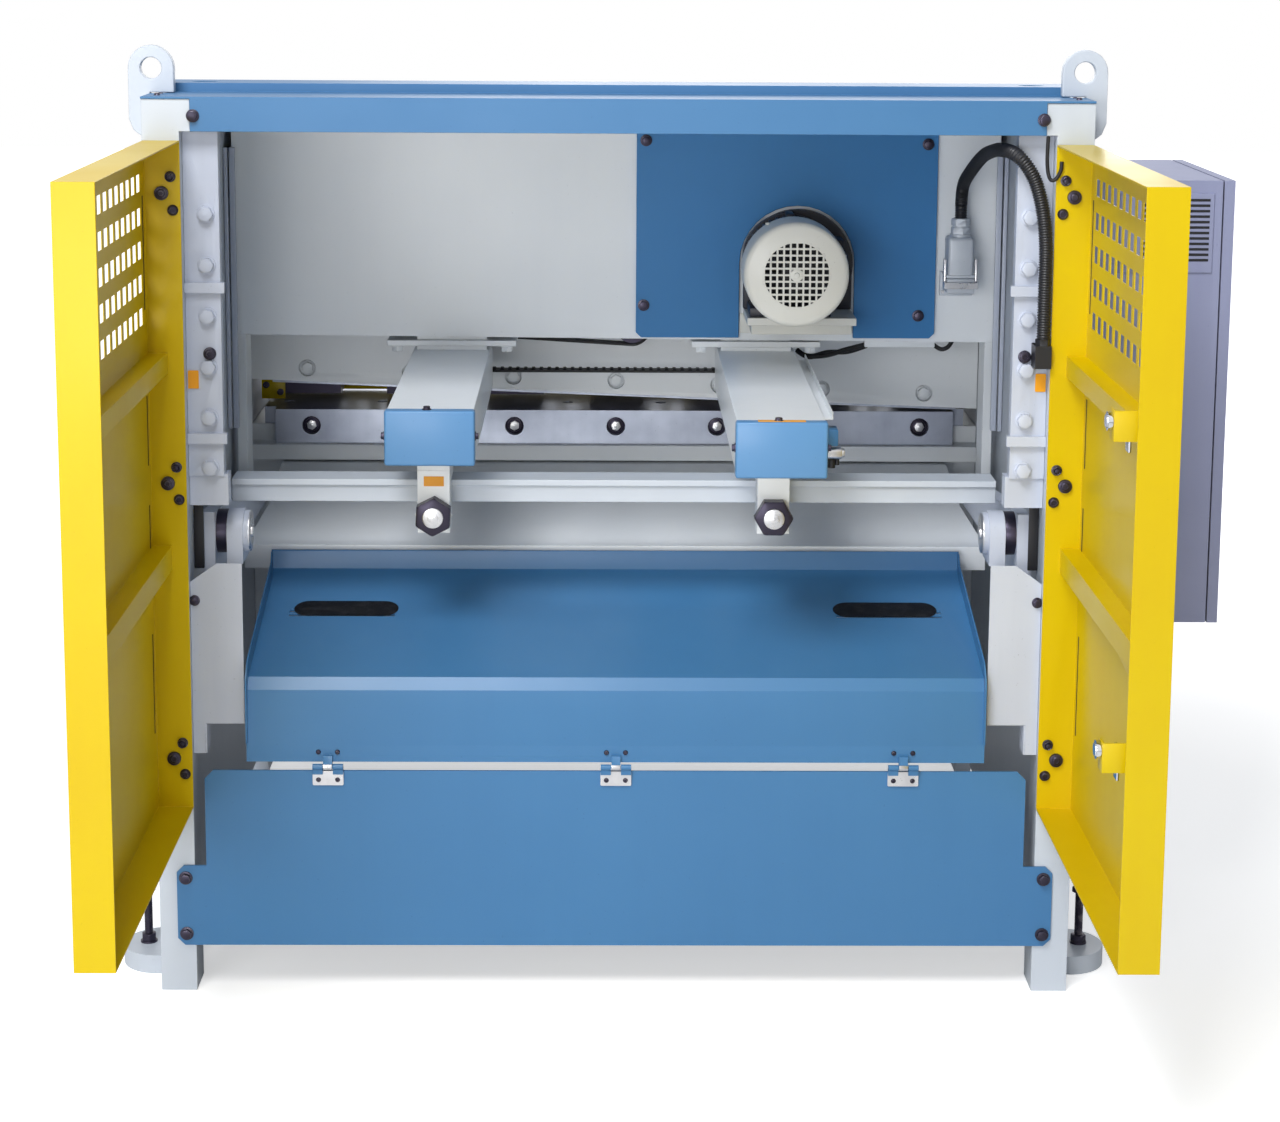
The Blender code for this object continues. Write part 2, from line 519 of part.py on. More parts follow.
add("connector", combine([
    box(0.509, 0.552, 0.500, RAM_BACK_Y - GAP, 0.922, 0.945),
    box(0.511, 0.550, 0.503, 0.5535, 0.944, 1.012),
    box(0.505, 0.556, 0.552, RAM_BACK_Y - GAP, 0.912, 0.950),
    rod(0.532, 0.528, 0.018, 1.010, 1.036, "z", 6)]), GREY)
add("connector_lever", combine([
    box(0.5045, 0.5087, 0.5055, 0.513, 0.930, 0.975), box(0.5523, 0.5565, 0.5055, 0.513, 0.930, 0.975),
    box(0.5045, 0.5565, 0.4935, 0.4975, 0.930, 0.940), box(0.5045, 0.5087, 0.4935, 0.513, 0.930, 0.940),
    box(0.5523, 0.5565, 0.4935, 0.513, 0.930, 0.940)]), GREY, (0.5305, 0.509, 0.971))


def tube(name, points, radius, colour):
    """A hose or cable along smooth points, with closed ends."""
    smooth = []
    for i in range(len(points) - 1):
        p0, p1 = points[max(i - 1, 0)], points[i]
        p2, p3 = points[i + 1], points[min(i + 2, len(points) - 1)]
        for t in np.linspace(0, 1, 4, endpoint=False):
            smooth.append([0.5 * (2 * b + (c - a) * t + (2 * a - 5 * b + 4 * c - d) * t ** 2
                                  + (3 * b - a - 3 * c + d) * t ** 3) for a, b, c, d in zip(p0, p1, p2, p3)])
    smooth.append(points[-1])
    curve = bpy.data.curves.new(name, "CURVE")
    curve.dimensions = "3D"
    curve.bevel_depth = radius
    curve.bevel_resolution = 2
    curve.use_fill_caps = True
    spline = curve.splines.new("POLY")
    spline.points.add(len(smooth) - 1)
    for point, place in zip(spline.points, smooth):
        point.co = (*place, 1)
    holder = bpy.data.objects.new("work", curve)
    cutters.objects.link(holder)
    bpy.context.view_layer.update()
    mesh = bpy.data.meshes.new_from_object(holder.evaluated_get(bpy.context.evaluated_depsgraph_get()))
    bpy.data.objects.remove(holder)
    return add(name, tidy(mesh), colour)


# The conduit leaves the connector upwards, comes back past the guide plate and drops to its gland.
GLAND_TOP = 0.930
tube("conduit", [(0.532, 0.528, 1.0365), (0.532, 0.528, 1.0480), (0.532, 0.528, 1.0600), (0.532, 0.508, 1.0900),
                 (0.532, 0.430, 1.1180), (0.529, 0.290, 1.1520), (0.5250, 0.150, 1.1720),
                 (0.5225, 0.070, 1.1790), (0.5240, 0.024, 1.1815),
                 (0.5330, 0.002, 1.1770), (0.5470, -0.003, 1.1610), (0.5590, -0.003, 1.1380),
                 (0.5690, -0.003, 1.1000), (0.5738, -0.003, 1.0570), (0.5745, -0.003, 1.0100),
                 (0.5745, -0.003, GLAND_TOP + GAP)], 0.0098, DARK)
add("conduit_gland", combine([
    rod(0.5738, -0.002, 0.0105, GLAND_TOP - 0.010, GLAND_TOP, count=6),
    box(0.5625, post_in - 0.0008, -0.0120, 0.022 - GAP, GLAND_TOP - 0.040, GLAND_TOP - 0.009)]), DARK)
tube("door_cable", [(0.573, 0.000, 1.2030), (0.573, 0.003, 1.172), (0.575, 0.003, 1.153), (0.578, -0.004, 1.145),
                    (0.584, -0.0062, 1.147), (0.590, -0.0062, 1.158), (0.591, -0.0062, 1.170)], 0.0026, DARK)

# ---------------------------------------------------------------- gauge arms and their screws
arm_low = ARM_TOP_Z - ARM_H
arm_in = ARM_W / 2 - ARM_WALL
flange_half = ARM_W / 2 + 0.041
riser_half = ARM_W / 2 - 0.005
flange_low = ARM_TOP_Z + FLANGE_UP
flange_top = flange_low + FLANGE_T
for side, x in (("left", ARM_L_X), ("right", ARM_R_X)):
    profile = [(-ARM_W / 2, arm_low), (-0.032, arm_low), (-0.032, arm_low + ARM_WALL),
               (-arm_in, arm_low + ARM_WALL), (-arm_in, ARM_TOP_Z - ARM_WALL)]
    profile = profile + [(-u, v) for u, v in reversed(profile)] + [(ARM_W / 2, ARM_TOP_Z), (-ARM_W / 2, ARM_TOP_Z)]
    near = ARM_NEAR_Y - (ARM_R_REACH if side == "right" else 0)
    arm = [slab([(x + u, v) for u, v in profile], near, ARM_FAR_Y, "y"),
           box(x - riser_half, x + riser_half, RAM_BACK_Y + 0.004, ARM_FAR_Y - 0.018, ARM_TOP_Z - 0.001,
               flange_low + 0.001),
           box(x - flange_half, x + flange_half, RAM_BACK_Y, ARM_FAR_Y - 0.006, flange_low, flange_top),
           box(x - riser_half, x + riser_half, RAM_BACK_Y + 0.012, ARM_FAR_Y - 0.018, flange_top - 0.002,
               ram_edge(x + riser_half) - GAP),
           box(x - arm_in - 0.002, x + arm_in + 0.002, ARM_FAR_Y - 0.018, ARM_FAR_Y - 0.008, arm_low + 0.012,
               ARM_TOP_Z - 0.002)]
    add(f"gauge_arm_{side}", combine(arm, [rod(x, screw_z, SCREW_R + 0.0004, ARM_FAR_Y - 0.032, ARM_FAR_Y + 0.008,
                                               "y", 18)]), WHITE)
    add(f"arm_cap_{side}", combine([
        box(x - ARM_W / 2 - 0.002, x + ARM_W / 2 + 0.002, near - CAP_T, near - GAP, arm_low - 0.002,
            ARM_TOP_Z + 0.002)],
        [rod(x, screw_z, SCREW_R - 0.0016, near - 0.010, near + 0.005, "y", 18)]), STEEL_BLUE)
    add(f"gauge_screw_{side}", combine([
        rod(x, screw_z, SCREW_R - 0.002, near - 0.009, near + 0.012, "y", 18),
        rod(x, screw_z, SCREW_R, near + 0.003, PULLEY_Y + 0.004, "y", 20),
        rod(x, screw_z, PULLEY_R, PULLEY_Y, PULLEY_Y + PULLEY_L, "y", 24)]), STEEL, (x, ARM_NEAR_Y, screw_z),
        metallic=0.9)
    add(f"gauge_carriage_{side}", combine([
        box(x - CARRIAGE_W / 2, x + CARRIAGE_W / 2, GAUGE_Y - 0.045, GAUGE_Y - GAP, CARRIAGE_BOTTOM_Z,
            CARRIAGE_TOP_Z),
        box(x - CARRIAGE_W / 2, x + CARRIAGE_W / 2, GAUGE_Y - 0.044, GAUGE_Y + 0.050, GAUGE_TOP_Z + GAP,
            arm_low - 0.008),
        box(x - 0.028, x + 0.028, GAUGE_Y - 0.043, GAUGE_Y + 0.049, arm_low - 0.009, ARM_TOP_Z - 0.009),
        rod(x, 0.660, 0.0145, GAUGE_Y - 0.070, GAUGE_Y - 0.040, "y", 18),
        rod(x, 0.660, NUT_R, GAUGE_Y - 0.0652, GAUGE_Y - 0.044, "y", 6)],
        [rod(x, screw_z, SCREW_R + 0.0004, GAUGE_Y - 0.06, GAUGE_Y + 0.06, "y", 20)]), GREY)

beam_low = GAUGE_TOP_Z - GAUGE_H
beam_profile = [(GAUGE_Y, GAUGE_TOP_Z), (GAUGE_Y, GAUGE_TOP_Z - 0.009), (GAUGE_Y + 0.004, GAUGE_TOP_Z - 0.009),
                (GAUGE_Y + 0.004, beam_low), (GAUGE_Y + GAUGE_D, beam_low), (GAUGE_Y + GAUGE_D, GAUGE_TOP_Z)]
add("gauge_beam", slab(beam_profile, -GAUGE_W / 2 - 0.003, GAUGE_W / 2 - 0.003, "x"), WHITE)

# Belt round the two screw pulleys and the motor pulley, pressed down by the idler.
wheels = [(ARM_L_X, screw_z, PULLEY_R, 1), (ARM_R_X, screw_z, PULLEY_R, 1),
          (MOTOR_X, MOTOR_Z, PULLEY_R, 1), (IDLER_X, IDLER_Z, IDLER_R, -1)]


def belt_loop(offset):
    """The closed path at a distance outside the pulleys; the idler is on the other side of it."""
    count = len(wheels)
    tangents = []
    for i in range(count):
        (ax, az, ar, a_sign), (bx, bz, br, b_sign) = wheels[i], wheels[(i + 1) % count]
        ra, rb = a_sign * ar + offset, b_sign * br + offset
        length = math.hypot(bx - ax, bz - az)
        heading = math.atan2(bz - az, bx - ax)
        tangents.append(heading - math.acos((ra - rb) / length))
    loop = []
    for i in range(count):
        cx, cz, r, sign = wheels[i]
        arrive, leave = tangents[i - 1], tangents[i]
        sweep = (leave - arrive) % (2 * math.pi)
        if sign < 0:
            sweep -= 2 * math.pi
        for t in np.linspace(0, 1, 13):
            a = arrive + sweep * t
            loop.append((cx + (sign * r + offset) * math.cos(a), cz + (sign * r + offset) * math.sin(a)))
    return loop


belt_end = PULLEY_Y + PULLEY_L
add("gauge_belt", slab(belt_loop(0.0043), PULLEY_Y + 0.001, belt_end - 0.001, "y", [belt_loop(GAP)]), DARK)
add("belt_idler", combine([
    rod(IDLER_X, IDLER_Z, IDLER_R - 0.0048, PULLEY_Y, belt_end, "y", 24)],
    [rod(IDLER_X, IDLER_Z, 0.0084, PULLEY_Y - 0.01, belt_end + 0.01, "y", 16)]), DARK,
    (IDLER_X, PULLEY_Y, IDLER_Z))
add("idler_pin", combine([
    rod(IDLER_X, IDLER_Z, 0.008, 0.660, belt_end + 0.004, "y", 16),
    box(IDLER_X - 0.012, IDLER_X + 0.012, 0.656, 0.666, IDLER_Z - 0.012, IDLER_Z + 0.032),
    box(IDLER_X - 0.012, IDLER_X + 0.012, RAM_BACK_Y + RAM_PLATE_T + GAP, 0.666, IDLER_Z + 0.022,
        IDLER_Z + 0.032)]), STEEL)

switch_x = ARM_R_X + ARM_W / 2 + 0.0023
add("limit_switch", combine([
    box(switch_x, switch_x + 0.022, ARM_NEAR_Y, ARM_NEAR_Y + 0.039, ARM_TOP_Z - 0.049, ARM_TOP_Z - 0.026),
    box(switch_x + 0.002, switch_x + 0.014, ARM_NEAR_Y + 0.005, ARM_NEAR_Y + 0.033, ARM_TOP_Z - 0.072,
        ARM_TOP_Z - 0.047)]), STEEL_BLUE)

# ---------------------------------------------------------------- rockers that pull the ram down
rocker_out = -side_in + ROCKER_GAP
rocker_in = rocker_out + 0.021
lug_x = rocker_out + 0.0375
slope = math.atan2(ROCKER_PIN_Z - ROCKER_Z, ROCKER_PIN_Y - ROCKER_Y)
nose = [(ROCKER_PIN_Y + 0.022 * math.cos(a), ROCKER_PIN_Z + 0.022 * math.sin(a))
        for a in np.linspace(-math.pi / 2 + slope, math.pi / 2 + slope, 9)]
tail = [(ROCKER_Y - 0.030, ROCKER_Z + 0.033), (ROCKER_Y - 0.030, ROCKER_Z - 0.065),
        (ROCKER_Y + 0.030, ROCKER_Z - 0.065)]
lug = ([(ROCKER_Y - 0.032, ROCKER_Z - 0.040), (ROCKER_Y + 0.032, ROCKER_Z - 0.040)]
       + [(ROCKER_Y + 0.032 * math.cos(a), ROCKER_Z + 0.032 * math.sin(a)) for a in np.linspace(0, math.pi, 11)])
both("rocker", combine([
    slab(nose + tail, rocker_out, rocker_in, "x"),
    rod(ROCKER_Y, ROCKER_Z, 0.020, -side_in - 0.020, lug_x + 0.023, "x", 20),
    rod(ROCKER_Y, ROCKER_Z, 0.030, rocker_in - 0.001, lug_x + 0.001, "x", 24),
    slab(lug, lug_x, lug_x + 0.022, "x"),
    rod(ROCKER_Y, ROCKER_Z, 0.029, lug_x + 0.021, lug_x + 0.029, "x", 24),
    rod(ROCKER_PIN_Y, ROCKER_PIN_Z, 0.012, rocker_out - 0.0175, rocker_out + 0.002, "x", 18)]), STEEL,
    (0, ROCKER_Y, ROCKER_Z), metallic=0.7)
slot = [(ROCKER_PIN_Y + end + 0.0126 * math.cos(a), ROCKER_PIN_Z + 0.0126 * math.sin(a))
        for end, first in ((0.002, -math.pi / 2), (-0.012, math.pi / 2))
        for a in np.linspace(first, first + math.pi, 9)]
for side in (-1, 1):
    x0, x1 = sorted((side * (ram_half - 0.0005), side * (ram_half - 0.0155)))
    top = ram_edge(max(x0, x1)) - GAP
    outline = [(ROCKER_PIN_Y - 0.030, ROCKER_PIN_Z - 0.024), (ROCKER_PIN_Y + 0.030, ROCKER_PIN_Z - 0.024),
               (ROCKER_PIN_Y + 0.030, top), (ROCKER_PIN_Y - 0.030, top)]
    add("ram_link_" + ("left" if side < 0 else "right"), slab(outline, x0, x1, "x", [slot]), STEEL)

# ---------------------------------------------------------------- hold-down, guard, front panel
clamp_x = [x + 0.005 for x in np.linspace(-1, 1, 7) * (side_in - 0.0915)]
rods_x = (0.1825 - side_in, side_in - 0.1825)
clamp_y = CUT_Y + 0.0887
beam_z = BLADE_TOP + 0.147
add("holddown_beam", combine([
    box(-side_in + GAP, side_in - GAP, clamp_y, clamp_y + 0.060, beam_z, beam_z + 0.100)],
    [rod(x, clamp_y + 0.030, 0.0124, beam_z - 0.030, beam_z + 0.130, count=18) for x in rods_x]), LILAC)
add("clamp_bar", combine(
    [box(-side_in + 0.0275, side_in - 0.0275, clamp_y + 0.005, clamp_y + 0.055, beam_z - 0.085, beam_z - 0.055)]
    + [box(x - 0.047, x + 0.047, clamp_y, clamp_y + 0.060, BLADE_TOP + 0.011, beam_z - 0.083) for x in clamp_x]
    + [rod(x, clamp_y + 0.030, 0.012, beam_z - 0.060, beam_z + 0.085, count=18) for x in rods_x]), DARK)
guard_y = clamp_y + 0.100
guard_top = beam_z + 0.095
guard_slots = [[(x - 0.009, BLADE_TOP + 0.052), (x + 0.009, BLADE_TOP + 0.052), (x + 0.009, guard_top - 0.045),
                (x - 0.009, guard_top - 0.045)] for x in np.linspace(-1, 1, 31) * (side_in - 0.0675)]
add("finger_guard", combine([
    slab([(-side_in + GAP, BLADE_TOP + 0.018), (side_in - GAP, BLADE_TOP + 0.018), (side_in - GAP, guard_top),
          (-side_in + GAP, guard_top)], guard_y, guard_y + 0.004, "y", guard_slots),
    box(-side_in + GAP, side_in - GAP, clamp_y + 0.060 + GAP, guard_y + 0.002, guard_top - 0.004,
        guard_top)]), YELLOW)
add("front_panel", box(-side_in + GAP, side_in - GAP, FRAME_D - 0.020, FRAME_D - 0.017, 0.100, 0.440),
    STEEL_BLUE)

# ---------------------------------------------------------------- rear doors with locks
pivot_x = post_in - 0.0005
pivot_y = -DOOR_PIVOT_OUT
skin_x = -half + 0.0010


def vent_slots(count):
    loops = []
    for row in range(5):
        z = door_top - 0.042 - row * 0.0445
        for i in range(count):
            y = -0.045 - VENT_PITCH * i
            loops.append([(y - VENT_W / 2, z - VENT_H), (y + VENT_W / 2, z - VENT_H), (y + VENT_W / 2, z),
                          (y - VENT_W / 2, z)])
    return loops


def door(vents, cuts=()):
    """A shallow tray standing open along -Y, its hinge flange lying on the left post."""
    end = -DOOR_FACE - door_l
    edge = -pivot_x
    frame = [slab([(-DOOR_FACE, DOOR_BOTTOM), (end, DOOR_BOTTOM), (end, door_top), (-DOOR_FACE, door_top)],
                  skin_x, skin_x + SKIN_T, "x", vents),
             box(skin_x, edge, -DOOR_FACE - DOOR_T / 2, -DOOR_FACE + 0.0010, DOOR_BOTTOM, door_top),
             box(skin_x, edge, end, end + DOOR_T, DOOR_BOTTOM, door_top),
             box(skin_x, edge, end, -DOOR_FACE, DOOR_BOTTOM, DOOR_BOTTOM + DOOR_T),
             box(skin_x, edge, end, -DOOR_FACE, door_top - DOOR_T, door_top),
             box(skin_x + 0.001, edge - 0.022, end + 0.001, -DOOR_FACE - 0.0005, door_top - 0.314,
                 door_top - 0.286),
             box(skin_x + 0.001, edge - 0.022, end + 0.001, -DOOR_FACE - 0.0005, DOOR_BOTTOM + 0.339,
                 DOOR_BOTTOM + 0.373)]
    return combine(frame, cuts)


add("door_left", door(vent_slots(10)), YELLOW, (-pivot_x, pivot_y, 0))
lock_y = -DOOR_FACE - door_l + 0.026
lock_z = (DOOR_BOTTOM + 0.264, door_top - 0.272)
lock_cuts = [rod(lock_y, z, 0.0086, -half - 0.02, -half + 0.056, "x", 18) for z in lock_z]
add("door_right", mirrored(door(vent_slots(9), lock_cuts)), YELLOW, (pivot_x, pivot_y, 0))
for name, z in zip(("lower", "upper"), lock_z):
    outer = half - 0.0010
    add(f"door_lock_{name}", combine([
        rod(lock_y, z, 0.0082, outer - 0.056, outer + 0.003, "x", 18),
        rod(lock_y, z, 0.0115, outer + 0.0003, outer + 0.004, "x", 18),
        box(outer - 0.0555, outer - 0.0515, lock_y - 0.009, lock_y + 0.009, z - 0.034, z + 0.009)]),
        STEEL, (outer, lock_y, z), metallic=1.0, roughness=0.2)

# ---------------------------------------------------------------- control cabinet
cab_x1 = cabinet_x + CABINET_W
cab_y1 = CABINET_Y + CABINET_D
louvres = [box(cabinet_x + 0.088, cabinet_x + 0.136, CABINET_Y - 0.01, CABINET_Y + 0.01, z, z + 0.004)
           for z in np.arange(12) * 0.0077 + CABINET_TOP - 0.114]
add("cabinet", combine([
    box(cabinet_x, cab_x1, CABINET_Y, cab_y1, CABINET_BOTTOM, CABINET_TOP),
    box(cabinet_x + 0.055, cab_x1 - 0.012, CABINET_Y - 0.0025, CABINET_Y + 0.001, CABINET_TOP - 0.130,
        CABINET_TOP - 0.018),
    box(half + GAP, cabinet_x + 0.001, CABINET_Y + 0.040, CABINET_Y + 0.070, CABINET_BOTTOM + 0.030,
        CABINET_TOP - 0.030),
    box(half + GAP, cabinet_x + 0.001, cab_y1 - 0.070, cab_y1 - 0.040, CABINET_BOTTOM + 0.030,
        CABINET_TOP - 0.030)],
    [box(cabinet_x + 0.002, cab_x1 + 0.01, CABINET_Y + 0.002, cab_y1 - 0.002, CABINET_BOTTOM + 0.002,
         CABINET_TOP - 0.002)] + louvres), LILAC)
pin_x, pin_y = cab_x1 + 0.0075, cab_y1 + 0.0055
barrels = ((CABINET_BOTTOM + 0.068, CABINET_BOTTOM + 0.118), (CABINET_TOP - 0.120, CABINET_TOP - 0.070))
bar_low, bar_high = CABINET_BOTTOM + 0.148, CABINET_TOP - 0.150
add("cabinet_door", combine(
    [box(cab_x1 + 0.002, cab_x1 + 0.002 + CABINET_DOOR_T, CABINET_Y, cab_y1, CABINET_BOTTOM, CABINET_TOP)]
    + [rod(pin_x, pin_y, 0.005, a, b, count=14) for a, b in barrels]
    + [box(pin_x - 0.003, pin_x + 0.003, cab_y1 - 0.001, pin_y, a, b) for a, b in barrels],
    [rod(pin_x, pin_y, 0.0022, barrels[0][0] - 0.010, barrels[1][1] + 0.010, count=10)]), LILAC,
    (pin_x, pin_y, CABINET_BOTTOM))
add("cabinet_hinge", combine([
    rod(pin_x, pin_y, 0.0018, barrels[0][0] - 0.015, barrels[1][1] + 0.015, count=10),
    box(pin_x - 0.0015, pin_x + 0.0015, pin_y - 0.0015, pin_y + 0.0015, bar_low, bar_high),
    box(cab_x1 - 0.030, pin_x + 0.0015, cab_y1 + GAP, pin_y + 0.0015, bar_low, bar_high)]), GREY)

bpy.context.view_layer.update()
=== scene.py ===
"""Guillotine shear seen from its back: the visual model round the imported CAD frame.
Metres. X is counted from the machine's middle, Y from the back face of the posts, Z from the floor."""

import json
import math

import bmesh
import bpy
import numpy as np
from mathutils import Matrix, Vector

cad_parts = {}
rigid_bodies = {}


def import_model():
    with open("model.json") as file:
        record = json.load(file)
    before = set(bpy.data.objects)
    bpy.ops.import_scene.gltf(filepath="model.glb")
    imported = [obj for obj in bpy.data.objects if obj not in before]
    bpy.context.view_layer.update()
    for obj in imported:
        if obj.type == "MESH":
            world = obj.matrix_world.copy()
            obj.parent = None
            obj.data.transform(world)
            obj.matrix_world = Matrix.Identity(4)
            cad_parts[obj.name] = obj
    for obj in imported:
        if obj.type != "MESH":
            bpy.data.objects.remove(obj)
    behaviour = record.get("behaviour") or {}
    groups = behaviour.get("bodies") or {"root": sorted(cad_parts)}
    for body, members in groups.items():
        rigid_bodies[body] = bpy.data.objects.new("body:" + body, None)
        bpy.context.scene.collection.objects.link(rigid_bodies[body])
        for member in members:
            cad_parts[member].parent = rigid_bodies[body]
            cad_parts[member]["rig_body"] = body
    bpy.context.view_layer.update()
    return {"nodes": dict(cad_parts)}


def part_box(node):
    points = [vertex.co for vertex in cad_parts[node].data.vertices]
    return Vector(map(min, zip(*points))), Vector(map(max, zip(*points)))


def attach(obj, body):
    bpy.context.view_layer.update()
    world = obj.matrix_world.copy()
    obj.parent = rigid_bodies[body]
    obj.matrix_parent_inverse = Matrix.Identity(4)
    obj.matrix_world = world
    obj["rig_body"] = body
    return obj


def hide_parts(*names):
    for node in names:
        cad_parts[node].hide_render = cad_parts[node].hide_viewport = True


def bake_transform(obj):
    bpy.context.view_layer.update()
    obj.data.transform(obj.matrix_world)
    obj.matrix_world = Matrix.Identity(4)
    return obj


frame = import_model()

# ---- Camera. It stands behind the machine at chest height and looks a little down; the lens is
# shifted so that the posts stay nearly upright in the picture.
mid_x = (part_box("side_frame_left")[0].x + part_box("side_frame_right")[1].x) / 2
back_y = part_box("side_frame_left")[0].y
MACHINE = Vector((mid_x, back_y, 0.0))
tilt = Matrix.Rotation(-0.1609, 3, "X")
swing = Matrix.Rotation(-0.0116, 3, "Z")
lean = Matrix.Rotation(-0.0059, 3, "Y")
lens = bpy.data.cameras.new("shop_camera")
lens.sensor_width = 36.0
lens.lens = 73.33
lens.shift_x = 0.0065
lens.shift_y = -0.16
lens.clip_start, lens.clip_end = 0.05, 60.0
camera = bpy.data.objects.new("shop_camera", lens)
bpy.context.scene.collection.objects.link(camera)
upright = Matrix(((1, 0, 0), (0, 0, -1), (0, 1, 0)))
turned = (swing @ tilt @ lean @ upright).to_4x4()
camera.matrix_world = Matrix.Translation(MACHINE + Vector((-0.0218, -3.4761, 1.4679))) @ turned
bpy.context.scene.camera = camera

# ---- Gauge motor conduit. A black corrugated plastic hose, 20 mm across, that leaves the connector on
# the ram upwards, comes back past the right guide plate and drops into a gland on that plate.
HOSE_R = 0.0098
RIB_PITCH = 0.0036


def tune(node, values):
    """Plain values for the sockets of a shader node."""
    for socket, value in values.items():
        node.inputs[socket].default_value = value


def put(tree, kind, values=None, **settings):
    """One shader node with its settings and the plain values of its sockets."""
    made = tree.nodes.new(kind)
    for key, value in settings.items():
        setattr(made, key, value)
    tune(made, values or {})
    return made


def join(tree, *pairs):
    """Links of a shader tree, each from one node's output to another node's input."""
    for source, gives, target, takes in pairs:
        tree.links.new(source.outputs[gives], target.inputs[takes])


def new_group(name, takes, gives):
    """An empty shader group; takes and gives are lists of (name, kind of socket, value)."""
    made = bpy.data.node_groups.new(name, "ShaderNodeTree")
    for way, sockets in (("INPUT", takes), ("OUTPUT", gives)):
        for label, kind, value in sockets:
            socket = made.interface.new_socket(label, in_out=way, socket_type="NodeSocket" + kind)
            if value is not None:
                socket.default_value = value
    return made, made.nodes.new("NodeGroupInput"), made.nodes.new("NodeGroupOutput")


def rgb(red, green, blue):
    """A colour as it is seen, from 0 to 255, made linear."""
    return tuple((c / 255 / 12.92) if c < 11 else ((c / 255 + 0.055) / 1.055) ** 2.4
                 for c in (red, green, blue)) + (1.0,)


def smooth_route(points, step):
    """Points a step apart along a smooth line through the chosen ones."""
    ends = [Vector(p) for p in points]
    fine = []
    for i in range(len(ends) - 1):
        a, b = ends[max(i - 1, 0)], ends[i]
        c, d = ends[i + 1], ends[min(i + 2, len(ends) - 1)]
        for t in np.linspace(0, 1, 40, endpoint=False):
            fine.append(0.5 * (2 * b + (c - a) * t + (2 * a - 5 * b + 4 * c - d) * t ** 2
                               + (3 * b - a - 3 * c + d) * t ** 3))
    fine.append(ends[-1])
    line = np.array(fine)
    run = np.concatenate([[0], np.cumsum(np.linalg.norm(np.diff(line, axis=0), axis=1))])
    count = max(2, int(round(run[-1] / step)))
    marks = np.linspace(0, run[-1], count + 1)
    return [Vector([np.interp(m, run, line[:, k]) for k in range(3)]) for m in marks], run[-1]


def hose_mesh(name, route, radii):
    """A round tube along a route, with its own radius at each point, made from a bevelled curve."""
    curve = bpy.data.curves.new(name, "CURVE")
    curve.dimensions = "3D"
    curve.bevel_depth = 1.0
    curve.bevel_resolution = 4
    curve.use_fill_caps = True
    spline = curve.splines.new("POLY")
    spline.points.add(len(route) - 1)
    for point, place, radius in zip(spline.points, route, radii):
        point.co = (*place, 1)
        point.radius = radius
    holder = bpy.data.objects.new(name, curve)
    bpy.context.scene.collection.objects.link(holder)
    bpy.context.view_layer.update()
    mesh = bpy.data.meshes.new_from_object(holder.evaluated_get(bpy.context.evaluated_depsgraph_get()))
    bpy.data.objects.remove(holder)
    mesh.name = name
    return mesh


def show(mesh, name, material, sharp=34.0):
    """The finished mesh, moved from machine places to the row frame, as an object with its paint."""
    mesh.name = name
    mesh.transform(Matrix.Translation(MACHINE))
    mesh.materials.clear()
    mesh.materials.append(material)
    mesh.polygons.foreach_set("use_smooth", [True] * len(mesh.polygons))
    mesh.set_sharp_from_angle(angle=math.radians(sharp))
    item = bpy.data.objects.new(name, mesh)
    bpy.context.scene.collection.objects.link(item)
    return item


# Fine dust and handling marks that every finish on the machine carries.
marks_group, marks_in, marks_out = new_group(
    "shop_marks", [("Fine", "Float", 90.0), ("Coarse", "Float", 2.4)],
    [("Patches", "Float", None), ("Streaks", "Float", None), ("Specks", "Float", None)])
spots = put(marks_group, "ShaderNodeTexCoord")
cloudy = put(marks_group, "ShaderNodeTexNoise", {"Detail": 4.0, "Roughness": 0.55})
run_down = put(marks_group, "ShaderNodeMapping", {"Scale": (26.0, 26.0, 1.6)})
streaky = put(marks_group, "ShaderNodeTexNoise", {"Scale": 1.0, "Detail": 3.0, "Roughness": 0.6})
speckled = put(marks_group, "ShaderNodeTexNoise", {"Detail": 2.0, "Roughness": 0.7})
speck_cut = put(marks_group, "ShaderNodeMapRange", {"From Min": 0.70, "From Max": 0.78})
join(marks_group, (spots, "Object", cloudy, "Vector"), (marks_in, "Coarse", cloudy, "Scale"),
     (spots, "Object", run_down, "Vector"), (run_down, "Vector", streaky, "Vector"),
     (spots, "Object", speckled, "Vector"), (marks_in, "Fine", speckled, "Scale"),
     (speckled, "Fac", speck_cut, "Value"), (cloudy, "Fac", marks_out, "Patches"),
     (streaky, "Fac", marks_out, "Streaks"), (speck_cut, "Result", marks_out, "Specks"))

# Where an edge is rubbed: the rounded normal leans away from the face's own near an edge.
rub_group, rub_in, rub_out = new_group(
    "rubbed_edges", [("Width", "Float", 0.002), ("Break up", "Float", 60.0)], [("Mask", "Float", None)])
rounding = put(rub_group, "ShaderNodeBevel", samples=3)
own = put(rub_group, "ShaderNodeNewGeometry")
lean_away = put(rub_group, "ShaderNodeVectorMath", operation="DOT_PRODUCT")
near_edge = put(rub_group, "ShaderNodeMapRange", {"From Min": 0.995, "From Max": 0.86})
rub_spots = put(rub_group, "ShaderNodeTexCoord")
rub_noise = put(rub_group, "ShaderNodeTexNoise", {"Detail": 3.0, "Roughness": 0.65})
rub_cut = put(rub_group, "ShaderNodeMapRange", {"From Min": 0.50, "From Max": 0.64})
rubbed = put(rub_group, "ShaderNodeMath", operation="MULTIPLY")
